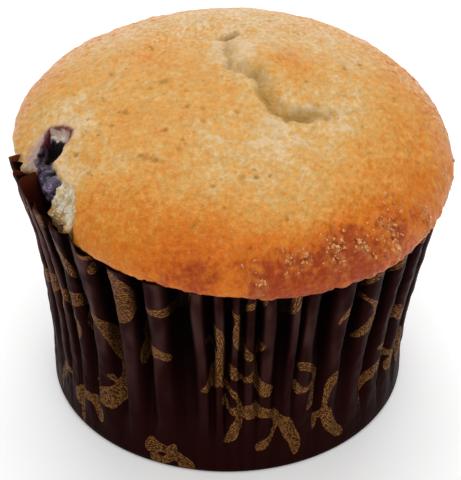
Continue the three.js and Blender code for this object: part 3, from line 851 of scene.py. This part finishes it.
def berry_material(berry):
    """Cooked blueberry skin: thin, wet and wrinkled, with what is left of its waxy bloom."""
    material, tree = new_material("cooked_blueberry_skin")
    place = add_node(tree, "TexCoord").outputs["Object"]
    burst_and_crease_shade, lobe = (
        add_node(tree, "Attribute", attribute_name=name).outputs["Fac"] for name in ("burst_and_crease_shade", "lobe")
    )
    patches = add_node(tree, "TexNoise", {
        "Vector": place, "Scale": 1 / (1.3 * MM), "Detail": 5.0, "Roughness": 0.7, "Distortion": 1.2,
    })
    bloom = add_node(tree, "MapRange", (patches, 0.49, 0.64, 0.0, 0.8))
    # The swollen lobe gets more pale bloom: partly real bloom, partly painted highlight.
    waxy = add_node(tree, "Math", (lobe, 0.25, bloom), operation="MULTIPLY_ADD")
    skin = add_node(tree, "Mix", (waxy, berry.skin, berry.bloom), data_type="RGBA")
    # The flesh colour covers the burst part and, as painted shade, the skin's creases.
    flesh_and_crease_shade = add_node(tree, "Mix", (burst_and_crease_shade, skin, berry.flesh_and_crease_shade), data_type="RGBA")
    wrinkle = add_node(tree, "TexNoise", {"Vector": place, "Scale": 1 / (0.6 * MM), "Detail": 4.0})
    bump = add_node(tree, "Bump", {"Height": wrinkle, "Strength": 0.9, "Distance": 0.4 * MM})
    shader = add_node(tree, "BsdfPrincipled", {
        "Base Color": flesh_and_crease_shade, "Roughness": 0.28, "IOR": 1.4, "Normal": bump,
    })
    add_node(tree, "OutputMaterial", {"Surface": shader})
    return material


# ---- Crumbs ----


def on_torn_side(points):
    """1 where loose crumbs may lie on the torn side, 0 elsewhere."""
    return (points[:, 2] > 45.5) & (points[:, 1] < -16.0)


def on_rim(points):
    """How readily sugary grains lie at a place: most in a cluster, and not under the lip."""
    return (points[:, 2] > 44.8) * np.maximum(ease(0.35, 0.8, clustered(points[:, :2])), 0.25)


class CrumbSettings(bpy.types.PropertyGroup):
    """Number and size of loose crumbs and sugary grains."""

    crumbs: count_property("Crumbs", "Crumbs on the torn face", 110, 1)
    crumb_size: length_property("Crumb size", "Mean radius of a crumb", 0.21)
    grains: count_property("Grains", "Sugary grains on the browned rim", 250, 1)
    grain_size: length_property("Grain size", "Mean radius of a grain", 0.19)


def scatter_on(source, weight_name, count, rng, keep):
    """Random points of a mesh, picked by an attribute where keep allows, and their normals."""
    mesh = source.data
    points = np.empty(len(mesh.vertices) * 3, np.float32)
    normals = np.empty_like(points)
    weight = np.empty(len(mesh.vertices), np.float32)
    mesh.vertices.foreach_get("co", points)
    mesh.vertex_normals.foreach_get("vector", normals)
    mesh.attributes[weight_name].data.foreach_get("value", weight)
    points = points.reshape(-1, 3).astype(float) / MM
    normals = normals.reshape(-1, 3).astype(float)
    weight = weight * keep(points)
    picked = rng.choice(len(weight), count, replace=False, p=weight / weight.sum())
    return points[picked], normals[picked]


def build_grains(name, places, sizes, rough, rng, material):
    """Small rough balls at their places: each a unit ball, squeezed at random along the axes,
    roughened by noise and turned about its own axis."""
    unit, faces = ball_grid(5, 8)
    count = len(places)
    squeeze = rng.uniform(0.7, 1.25, (count, 1, 3))
    noise = layered_noise((unit[None] * 0.8 + rng.uniform(0, 90, (count, 1, 3))).reshape(-1, 3), 0.9, 2, 81)
    shape = unit[None] * squeeze * (1 + rough * noise.reshape(count, -1, 1)) * sizes[:, None, None]
    turn = rng.uniform(0, 2 * math.pi, (count, 2))
    c, s = np.cos(turn), np.sin(turn)
    x, y, z = shape[..., 0], shape[..., 1], shape[..., 2]
    x, y = x * c[:, :1] - y * s[:, :1], x * s[:, :1] + y * c[:, :1]
    y, z = y * c[:, 1:] - z * s[:, 1:], y * s[:, 1:] + z * c[:, 1:]
    points = (places[:, None, :] + np.stack([x, y, z], axis=-1)).reshape(-1, 3)
    all_faces = (faces[None] + (np.arange(count) * len(unit))[:, None, None]).reshape(-1, 3)
    tint = np.repeat(rng.random(count), len(unit))
    made = add_mesh(name, points, all_faces, material, (("tint", tint),))
    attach(made, BODY)
    return made


def grain_material(name, light, dark, roughness, specular):
    """Loose bits of baked crumb or sugar: each takes a tint between two colours; light soaks in."""
    material, tree = new_material(name)
    tint = add_node(tree, "Attribute", attribute_name="tint").outputs["Fac"]
    colour = add_node(tree, "Mix", (tint, light, dark), data_type="RGBA")
    shader = add_node(tree, "BsdfPrincipled", {
        "Base Color": colour, "Roughness": roughness, "IOR": 1.5, "Specular IOR Level": specular,
        "Subsurface Weight": 0.3, "Subsurface Scale": 0.8 * MM, "Subsurface Radius": (1.0, 0.6, 0.3),
    })
    add_node(tree, "OutputMaterial", {"Surface": shader})
    return material


# ---- The paper case ----

WALL_LEAN = (-0.15, 0.8, 4.0, 36.0)  # off to +X at the foot, at the top, and the levels between
UNROLLED_RADIUS = 33.0  # mean radius of the wall, which turns an angle into a length
PULLED_FROM = (-158.0, -154.0)  # angles between which the torn side's paper turns flat
PULLED_FLAT = 0.72  # share of the flutes' depth that it loses
PRINT_CELL_WIDTH = 17.0
PRINT_CELL_HEIGHT = 15.0
PRINT_ROWS = 3
LINE_SPACING = 0.44  # between the engraved lines of the print
NO_PRINT = -5.0  # depth inside a motif where there is none
# Angles of the flutes' crests round the front.
FRONT_CRESTS = (
    -177.0, -168.6, -164.2, -154.6, -148.6, -141.6, -132.5, -120.8, -110.5, -97.9, -92.5, -87.8, -83.9,
    -79.3, -71.3, -66.8, -56.6, -46.0, -36.0, -26.0,
)
# Level of the paper's free rim beside the torn side, by angle.
OPEN_RIM = (
    (-178.0, 44.8), (-174.5, 45.6), (-172.2, 48.4), (-170.5, 49.2), (-168.6, 49.5), (-166.9, 49.2),
    (-166.3, 47.0), (-165.6, 48.4), (-164.7, 48.3), (-163.9, 48.1), (-161.0, 49.3), (-159.5, 49.9),
    (-158.0, 50.8), (-156.2, 51.0), (-155.2, 49.9), (-154.4, 47.9), (-151.6, 47.4), (-148.6, 47.8),
    (-145.5, 46.7), (-141.6, 46.4), (-138.7, 46.3), (-136.0, 46.9), (-134.0, 46.9),
)


class PaperSettings(bpy.types.PropertyGroup):
    """Sizes and colours of the paper case."""

    foot_radius: length_property("Foot radius", "Radius of the flat foot with its rounded edge", 30.1)
    rim_radius: length_property("Rim radius", "Radius of the flutes' crests at the rim level", 37.3)
    rim_level: length_property("Rim level", "Level at which the rim radius is measured", 46.0)
    flare: FloatProperty(name="Flare", description="Power by which the wall opens upwards", default=1.7)
    foot_round: length_property("Foot rounding", "Rounding between foot and wall", 1.1)
    pleat_depth: length_property("Pleat depth", "Depth of the flutes at the rim", 3.7)
    pleat_start: length_property("Pleat start", "Level at which the flutes are full", 14.0)
    thickness: length_property("Thickness", "Thickness of the modelled wall", 0.2)
    left_pleats: count_property("Left flutes", "Flutes behind on the left", 9, 2)
    right_pleats: count_property("Right flutes", "Flutes behind on the right", 10, 2)
    steps: count_property("Steps", "Points across one flute", 18, 6)
    wall_rows: count_property("Wall rows", "Rows of points up the wall", 104, 8)
    inner_rows: count_property("Inner rows", "Rows of points down the inside", 22, 4)
    brown: colour_property("Paper", "Dark brown greaseproof paper", "#200706")
    # Painted shade: near-black laid deep in the flutes' valleys.
    fold_shade: colour_property("Folded paper", "The paper deep in its folds", "#020000")
    # Painted sheen: a greyer colour laid on the flutes' crests.
    crest_sheen_and_inner_top: colour_property("Scuffed paper", "Rubbed, greyer crests of the flutes", "#523633")
    inside: colour_property("Inside", "Inner side of the paper", "#3C160E")
    # The inner side is lighter towards its top and on the left tips.
    lighter_inner_top: colour_property("Bare paper", "Inner side where the paper stands clear of the cake", "#6E3614")
    gold: colour_property("Gold print", "Printed gold", "#AA743C")


def pleat_fall(level, paper):
    """Mean depth of the flutes at a level: they start above the foot and deepen to the rim."""
    return paper.pleat_depth * ease(0.5, paper.pleat_start, level) * mix(0.55, 1.0, level / paper.rim_level)


def crest_radius(level, angle, paper):
    """Radius of the flutes' crests: the foot's, plus a flare that grows with a power of height."""
    foot, top, low, high = WALL_LEAN
    flare = (np.maximum(level, 0.0) / paper.rim_level) ** paper.flare
    flare *= paper.rim_radius - paper.foot_radius
    return paper.foot_radius + flare + mix(foot, top, ease(low, high, level)) * np.cos(angle)


def pleat_columns(paper):
    """Angle, height between valley and crest, random lift and depth of each column: uneven flutes,
    crowded at the front, each with a rounded crest and a deep, narrow valley."""
    rng = np.random.default_rng(7)
    crests = np.concatenate([
        np.linspace(BACK, FRONT_CRESTS[0], paper.left_pleats + 1)[:-1], FRONT_CRESTS,
        np.linspace(FRONT_CRESTS[-1], BACK + 360.0, paper.right_pleats + 2)[1:-1],
    ])
    following = np.append(crests[1:], crests[0] + 360.0)
    edges = (crests + following) / 2
    edges = np.append(edges[-1] - 360.0, edges)
    width = np.diff(edges)
    s = (np.arange(paper.steps) / paper.steps)[None, :]
    middle = ((crests - edges[:-1]) / width)[:, None]
    crest = ease(0.08, 1.0, np.sin(math.pi * s ** (math.log(0.5) / np.log(middle))))
    angle = np.radians(edges[:-1, None] + width[:, None] * s)
    count = len(crests)
    lift = np.repeat(rng.uniform(-1, 1, count), paper.steps)
    tall = np.repeat(rng.uniform(0.85, 1.1, count) * np.clip(width / 9.0, 0.6, 1.1), paper.steps)
    return angle.ravel(), crest.ravel(), lift, tall


def paper_rim(angle, lift, cake):
    """Rim level: hidden close under the lip, and free where the cake is torn."""
    under = cake.edge_level + waves(EDGE_LEVEL_WAVES, angle) - cake.lip_drop - 0.25
    place, level = np.array(OPEN_RIM).T
    degrees = wrap_degrees(angle)
    free = np.interp(degrees, place, level) + 0.15 * lift
    open_share = ease(-180.0, -176.0, degrees) * ease(-132.8, -134.0, degrees)
    return mix(under, free, open_share), open_share


def paper_row(level, inset, columns, open_share, paper):
    """One closed row of the case: the crests' circle less the flutes' depth, with crinkles that
    run up and down the wall, and the foot tucked in."""
    angle, crest, lift, tall = columns
    flat = np.column_stack([angle * UNROLLED_RADIUS, 0.3 * level, np.zeros_like(angle)])
    turned = angle + 0.017 * lattice_noise(flat, 6.0, 61) * ease(3.0, 12.0, level) * ease(46.0, 38.0, level)
    depth = pleat_fall(level, paper) * tall * mix(0.3, 1.0, ease(3.0, 30.0, level + 9.0 * lift))
    degrees = wrap_degrees(angle)
    pulled = open_share * ease(*PULLED_FROM, degrees) * ease(34.0, 43.0, level)
    depth = depth * (1 - PULLED_FLAT * pulled)
    crinkle = 0.22 * layered_noise(flat * (1.0, 1.6, 1.0), 3.0, 3, 63)
    crinkle += 0.08 * lattice_noise(np.column_stack([angle * UNROLLED_RADIUS, level, 0 * level]), 2.0, 67)
    down = np.clip(level / paper.foot_round, 0.0, 1.0)
    tuck = paper.foot_round * (1 - np.sqrt(1 - (1 - down) ** 2))
    reach = crest_radius(level, turned, paper) - depth * (1 - crest) - tuck - inset
    reach = reach + (crinkle - 0.15) * ease(1.0, 8.0, level)
    reach -= 0.3 * open_share * ease(-164.0, -167.0, degrees) * ease(40.0, 49.0, level)
    return round_axis(reach, turned, level)


def build_paper(paper, cake, material):
    """The case as one closed skin: out along the foot, up the fluted wall, over the rim and down
    the inside."""
    columns = pleat_columns(paper)
    angle, crest, lift, _ = columns
    rim, open_share = paper_rim(angle, lift, cake)
    outer = [
        paper_row(rim * t, 0.0, columns, open_share, paper) for t in np.linspace(0.0, 1.0, paper.wall_rows)
    ]
    inner = [
        paper_row(mix(paper.thickness, rim, t), paper.thickness, columns, open_share, paper)
        for t in np.linspace(1.0, 0.0, paper.inner_rows)
    ]
    points = np.vstack([*outer, *inner, [[0, 0, 0]], [[0, 0, paper.thickness]]])
    rows = len(outer) + len(inner)
    count = len(angle)
    wall = len(outer) * count  # points on the outer side
    faces = np.vstack([
        row_faces(rows, count)[:, ::-1],
        fan_faces(len(points) - 2, 0, count, upward=False),
        fan_faces(len(points) - 1, (rows - 1) * count, count, upward=True),
    ])
    within, gold, hatch, fold_shade, crest_sheen_and_inner_top = np.zeros((5, len(points)))
    within[wall:-2] = 1.0
    measured = outer[paper.wall_rows * 2 // 3]
    run = np.linalg.norm(np.roll(measured, -1, axis=0) - measured, axis=1)
    unrolled = np.concatenate([[0.0], np.cumsum(run)])
    printed = gold_print(unrolled[:-1], unrolled[-1], np.array([row[:, 2] for row in outer]))
    gold[:wall], hatch[:wall] = (field.ravel() for field in printed)
    gold[wall:] = NO_PRINT
    degrees = wrap_degrees(angle)
    level = points[:wall, 2]
    # Painted shade: the paper darkens towards each flute's valley, more so higher up the wall, where the
    # flutes are deeper and the dome overhangs.
    fold_shade[:wall] = np.tile(ease(0.94, 0.5, crest), paper.wall_rows)
    fold_shade[:wall] *= mix(0.12, 1.0, ease(6.0, 34.0, level))
    # Painted sheen on the flutes' crests: in patches, higher up the wall and most on the left.
    sheen_patches = ease(-0.4, 0.7, layered_noise(points[:wall] * (1.0, 1.0, 0.3), 3.0, 2, 69))
    sheen_patches = np.maximum(sheen_patches, np.tile(0.9 * ease(-140.0, -150.0, degrees), paper.wall_rows))
    crests = ease(0.8, 1.0, crest) * mix(0.5, 1.0, ease(-110.0, -140.0, degrees))
    crest_sheen_and_inner_top[:wall] = np.tile(crests, paper.wall_rows) * ease(6.0, 40.0, level) * sheen_patches
    lining = points[wall:]
    # The inner side turns lighter towards its top, most on the left tips.
    lighter_inner_top = ease(46.0, 49.5, lining[:, 2] + 1.5 * lattice_noise(lining, 2.5, 73))
    degrees = np.degrees(np.arctan2(lining[:, 1], lining[:, 0]))
    crest_sheen_and_inner_top[wall:] = lighter_inner_top * mix(0.1, 1.0, ease(-163.0, -167.0, degrees))
    made = add_mesh("fluted_paper", points, faces, material, (
        ("inner", within), ("gold", gold), ("hatch", hatch), ("fold_shade", fold_shade), ("crest_sheen_and_inner_top", crest_sheen_and_inner_top),
    ))
    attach(made, BODY)
    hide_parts("paper_case")
    return made


def gold_print(unrolled, girth, levels):
    """Signed depth inside the printed motifs and the phase of their engraved lines, both in
    millimetres, for each row and column of the wall. The paper is printed flat, so the motifs lie on
    the unrolled wall: a curved ribbon in each cell of a shaken grid, and a shorter one branching off."""
    rng = np.random.default_rng(23)
    depth = np.full(levels.shape, NO_PRINT)
    phase = np.zeros(levels.shape)
    across_count = int(girth / PRINT_CELL_WIDTH)
    for i, j, arm in itertools.product(range(across_count), range(PRINT_ROWS), range(2)):
        if arm == 0:
            x = girth * (i + 0.5 * (j % 2) + rng.uniform(0.2, 0.8)) / across_count
            y = 2.0 + PRINT_CELL_HEIGHT * (j + rng.uniform(0.1, 0.9))
            turn = rng.uniform(0, math.pi)
        turn += rng.uniform(0.7, 1.6) * arm
        length = rng.uniform(13.0, 26.0) * (1 - 0.5 * arm)
        bend = rng.choice([-1, 1]) * rng.uniform(0.5, 1.8)
        half = rng.uniform(1.2, 2.4) * (1 - 0.3 * arm)
        lengthwise = rng.random() < 0.5
        s = np.linspace(-1, 1, 25)
        heading = turn + bend * s
        step = np.column_stack([np.cos(heading), np.sin(heading)])
        course = np.cumsum(step * length / 24, axis=0)
        course += (x, y) - course[12 - 8 * arm]
        width = half * (0.72 + 0.28 * np.cos(4 * s + turn)) * (1 - s**8)
        gap_x = (unrolled - x + girth / 2) % girth - girth / 2
        near = np.flatnonzero(np.abs(gap_x) < length)
        place_x = (gap_x[near] + x)[None, :, None] - course[:, 0]
        place_y = levels[:, near][:, :, None] - course[:, 1]
        reach = width - np.hypot(place_x, place_y)
        best = reach.argmax(axis=2)
        inside = reach.max(axis=2)
        forward, across = (
            np.take_along_axis(values, best[:, :, None], axis=2)[:, :, 0] for values in (
                place_x * step[:, 0] + place_y * step[:, 1], place_y * step[:, 0] - place_x * step[:, 1],
            )
        )
        lines = across if lengthwise else forward + s[best] * length / 2 + 0.35 * across**2
        closer = inside > depth[:, near]
        depth[:, near] = np.where(closer, inside, depth[:, near])
        phase[:, near] = np.where(closer, lines, phase[:, near])
    return depth, phase


def paper_material(paper):
    """Greaseproof cup paper: dense, calendered and slightly waxy, so creases catch a satin light.
    The gold is a matt metallic ink, printed as fine, broken lines inside an outline."""
    material, tree = new_material("printed_greaseproof_paper")
    place = add_node(tree, "TexCoord").outputs["Object"]
    inner, gold, hatch, fold_shade, crest_sheen_and_inner_top = (
        add_node(tree, "Attribute", attribute_name=name).outputs["Fac"]
        for name in ("inner", "gold", "hatch", "fold_shade", "crest_sheen_and_inner_top")
    )
    waver, broken, fibre = (
        add_node(tree, "TexNoise", {"Vector": place, "Scale": 1 / (size * MM), "Detail": detail})
        for size, detail in ((0.9, 3.0), (0.4, 1.0), (1.4, 4.0))
    )
    # Painted sheen on the crests. On the inside, the same attribute lightens the top.
    painted_crest_sheen = add_node(tree, "Mix", (crest_sheen_and_inner_top, paper.brown, paper.crest_sheen_and_inner_top), data_type="RGBA")
    lining = add_node(tree, "Mix", (crest_sheen_and_inner_top, paper.inside, paper.lighter_inner_top), data_type="RGBA")
    sheet = add_node(tree, "Mix", (inner, painted_crest_sheen, lining), data_type="RGBA")
    phase = add_node(tree, "Math", (hatch, 2 * math.pi / LINE_SPACING), operation="MULTIPLY")
    shaken = add_node(tree, "Math", (waver, 9.0, phase), operation="MULTIPLY_ADD")
    lines = add_node(tree, "Math", (shaken,), operation="SINE")
    shape, border, strokes, worn = (
        add_node(tree, "MapRange", ends) for ends in (
            (gold, -0.06, 0.06, 0.0, 1.0), (gold, 0.12, 0.26, 0.5, 0.0), (lines, -0.3, 0.9, 0.16, 0.8),
            (broken, 0.38, 0.6, 0.15, 1.0),
        )
    )
    drawn = add_node(tree, "Math", (strokes, border), operation="MAXIMUM")
    stamped = add_node(tree, "Math", (shape, worn), operation="MULTIPLY")
    ink = add_node(tree, "Math", (stamped, drawn), operation="MULTIPLY")
    printed = add_node(tree, "Mix", (ink, sheet, paper.gold), data_type="RGBA")
    # Painted shade: fold_shade darkens the valleys. The same share also makes them rougher.
    deep = add_node(tree, "Math", (fold_shade, 0.95), operation="MULTIPLY")
    satin = add_node(tree, "Math", (fold_shade, 0.5, 0.42), operation="MULTIPLY_ADD")
    colour = add_node(tree, "Mix", (deep, printed, paper.fold_shade), data_type="RGBA")
    metal = add_node(tree, "Math", (ink, 0.4), operation="MULTIPLY")
    bump = add_node(tree, "Bump", {"Height": fibre, "Strength": 0.35, "Distance": 0.2 * MM})
    shader = add_node(tree, "BsdfPrincipled", {
        "Base Color": colour, "Metallic": metal, "Roughness": satin, "IOR": 1.45,
        "Specular IOR Level": 0.015, "Normal": bump,
    })
    add_node(tree, "OutputMaterial", {"Surface": shader})
    return material


# ---- The stage ----


FLOOR_HALF = 3.0  # half the floor's side, in metres
SENSOR_WIDTH = 36.0
# Lights: place and size, in metres.
KEY_LIGHT = ((0.0, 0.4, 0.7), 0.7)
FILL_LIGHT = ((0.06, -0.5, 0.7), 0.5)


class StageSettings(bpy.types.PropertyGroup):
    """Camera and light."""

    elevation: FloatProperty(
        name="Elevation", description="Camera height above the horizon", subtype="ANGLE",
        default=math.radians(37.49),
    )
    distance: FloatProperty(name="Distance", description="Camera distance", unit="LENGTH", default=0.6)
    lens: FloatProperty(
        name="Lens", description="Focal length on a 36 mm frame, in millimetres", default=264.1
    )
    aim: FloatVectorProperty(
        name="Aim", description="Point in the middle of the picture", subtype="XYZ", unit="LENGTH",
        precision=5, default=(0.000375, -0.00155, 0.02798),
    )
    floor: colour_property("Floor", "Pale floor", "#FCFCFC")
    ambient: FloatProperty(name="Ambient", description="Strength of the white surroundings", default=0.48)
    key_power: FloatProperty(name="Key light", description="Power of the light above, in W", default=3.8)
    fill_power: FloatProperty(name="Fill light", description="Power of the front light, in W", default=1.95)


def add_area_light(name, place, size, target, power):
    """A square soft light at a place, turned to a target."""
    data = bpy.data.lights.new(name, "AREA")
    data.energy = power
    data.size = size
    lamp = bpy.data.objects.new(name, data)
    lamp.location = place
    lamp.rotation_euler = (Vector(target) - Vector(place)).to_track_quat("-Z", "Y").to_euler()
    bpy.context.scene.collection.objects.link(lamp)


def floor_material(stage):
    """Matt white studio paper, lit a little from below as on a light table."""
    material, tree = new_material("studio_paper")
    shader = add_node(tree, "BsdfPrincipled", {
        "Base Color": stage.floor, "Roughness": 0.9,
        "Emission Color": stage.floor, "Emission Strength": 0.2,
    })
    add_node(tree, "OutputMaterial", {"Surface": shader})
    return material


# ---- Operators ----


class MUFFIN_OT_cake(bpy.types.Operator):
    """Build the cake with its crust, split, pores and torn side"""

    bl_idname = "muffin.cake"
    bl_label = "Cake"

    def execute(self, context):
        scene = context.scene
        build_cake(scene.muffin_cake, scene.muffin_paper, crust_material(scene.muffin_crust))
        return {"FINISHED"}


class MUFFIN_OT_blueberry(bpy.types.Operator):
    """Build the burst blueberry"""

    bl_idname = "muffin.blueberry"
    bl_label = "Blueberry"

    def execute(self, context):
        berry = context.scene.muffin_berry
        build_berry(berry, berry_material(berry))
        return {"FINISHED"}


class MUFFIN_OT_paper(bpy.types.Operator):
    """Build the fluted paper case with its gold print"""

    bl_idname = "muffin.paper"
    bl_label = "Paper case"

    def execute(self, context):
        scene = context.scene
        build_paper(scene.muffin_paper, scene.muffin_cake, paper_material(scene.muffin_paper))
        return {"FINISHED"}


class MUFFIN_OT_crumbs(bpy.types.Operator):
    """Scatter crumbs on the torn face and sugary grains on the browned rim"""

    bl_idname = "muffin.crumbs"
    bl_label = "Crumbs"

    def execute(self, context):
        settings = context.scene.muffin_crumbs
        colours = context.scene.muffin_crust
        cake = bpy.data.objects["muffin_cake"]
        rng = np.random.default_rng(91)
        places, normals = scatter_on(cake, "crumb", settings.crumbs, rng, on_torn_side)
        sizes = settings.crumb_size * rng.uniform(0.5, 1.6, len(places))
        build_grains(
            "torn_crumbs", places - 0.35 * sizes[:, None] * normals, sizes, 0.9, rng,
            grain_material("crumb_bits", colours.crumb, colours.flaked, 0.6, 0.2),
        )
        places, normals = scatter_on(cake, "sugary", settings.grains, rng, on_rim)
        sizes = settings.grain_size * rng.uniform(0.5, 1.9, len(places))
        places = places + rng.uniform(-0.2, 0.2, places.shape) - 0.5 * sizes[:, None] * normals
        build_grains(
            "sugary_grains", places, sizes, 0.9, rng,
            grain_material("sugar_bits", colours.candied, colours.syrup, 0.2, 0.7),
        )
        return {"FINISHED"}


class MUFFIN_OT_stage(bpy.types.Operator):
    """Set the floor, the lights and the camera"""

    bl_idname = "muffin.stage"
    bl_label = "Stage"

    def execute(self, context):
        scene = context.scene
        stage = scene.muffin_stage
        corners = np.array([[-1, -1, 0], [1, -1, 0], [1, 1, 0], [-1, 1, 0]]) * FLOOR_HALF / MM
        floor = add_mesh("floor", corners, np.array([[0, 1, 2, 3]]), floor_material(stage))
        world = bpy.data.worlds.new("white_surroundings")
        world.use_nodes = True
        background = world.node_tree.nodes["Background"]
        background.inputs["Color"].default_value = (1.0, 1.0, 1.0, 1.0)
        background.inputs["Strength"].default_value = stage.ambient
        scene.world = world
        aim = Vector(stage.aim)
        add_area_light("key_light", *KEY_LIGHT, aim, stage.key_power)
        add_area_light("fill_light", *FILL_LIGHT, aim, stage.fill_power)
        data = bpy.data.cameras.new("camera")
        data.lens = stage.lens
        data.sensor_width = SENSOR_WIDTH
        data.clip_start = 0.01
        camera = bpy.data.objects.new("camera", data)
        back = Vector((0.0, -math.cos(stage.elevation), math.sin(stage.elevation)))
        camera.location = aim + back * stage.distance
        camera.rotation_euler = (-back).to_track_quat("-Z", "Y").to_euler()
        scene.collection.objects.link(camera)
        scene.camera = camera
        scene.view_settings.view_transform = "Standard"
        return {"FINISHED"}


class MUFFIN_PT_panel(bpy.types.Panel):
    """Lists what the muffin is built from"""

    bl_label = "Muffin"
    bl_idname = "MUFFIN_PT_panel"
    bl_space_type = "VIEW_3D"
    bl_region_type = "UI"
    bl_category = "Muffin"

    def draw(self, context):
        for operator in OPERATORS:
            self.layout.operator(operator.bl_idname)


OPERATORS = (MUFFIN_OT_cake, MUFFIN_OT_blueberry, MUFFIN_OT_crumbs, MUFFIN_OT_paper, MUFFIN_OT_stage)
SETTINGS = {
    "muffin_cake": CakeSettings,
    "muffin_crust": CrustColours,
    "muffin_berry": BerrySettings,
    "muffin_crumbs": CrumbSettings,
    "muffin_paper": PaperSettings,
    "muffin_stage": StageSettings,
}


def register():
    """Registers the settings, the operators and the panel."""
    for name, group in SETTINGS.items():
        bpy.utils.register_class(group)
        setattr(bpy.types.Scene, name, PointerProperty(type=group))
    for operator in OPERATORS:
        bpy.utils.register_class(operator)
    bpy.utils.register_class(MUFFIN_PT_panel)


def unregister():
    """Takes them away again."""
    bpy.utils.unregister_class(MUFFIN_PT_panel)
    for operator in reversed(OPERATORS):
        bpy.utils.unregister_class(operator)
    for name, group in SETTINGS.items():
        delattr(bpy.types.Scene, name)
        bpy.utils.unregister_class(group)


def main():
    """Builds the muffin and its stage."""
    register()
    bpy.ops.muffin.cake()
    bpy.ops.muffin.blueberry()
    bpy.ops.muffin.crumbs()
    bpy.ops.muffin.paper()
    bpy.ops.muffin.stage()


if __name__ == "__main__":
    main()
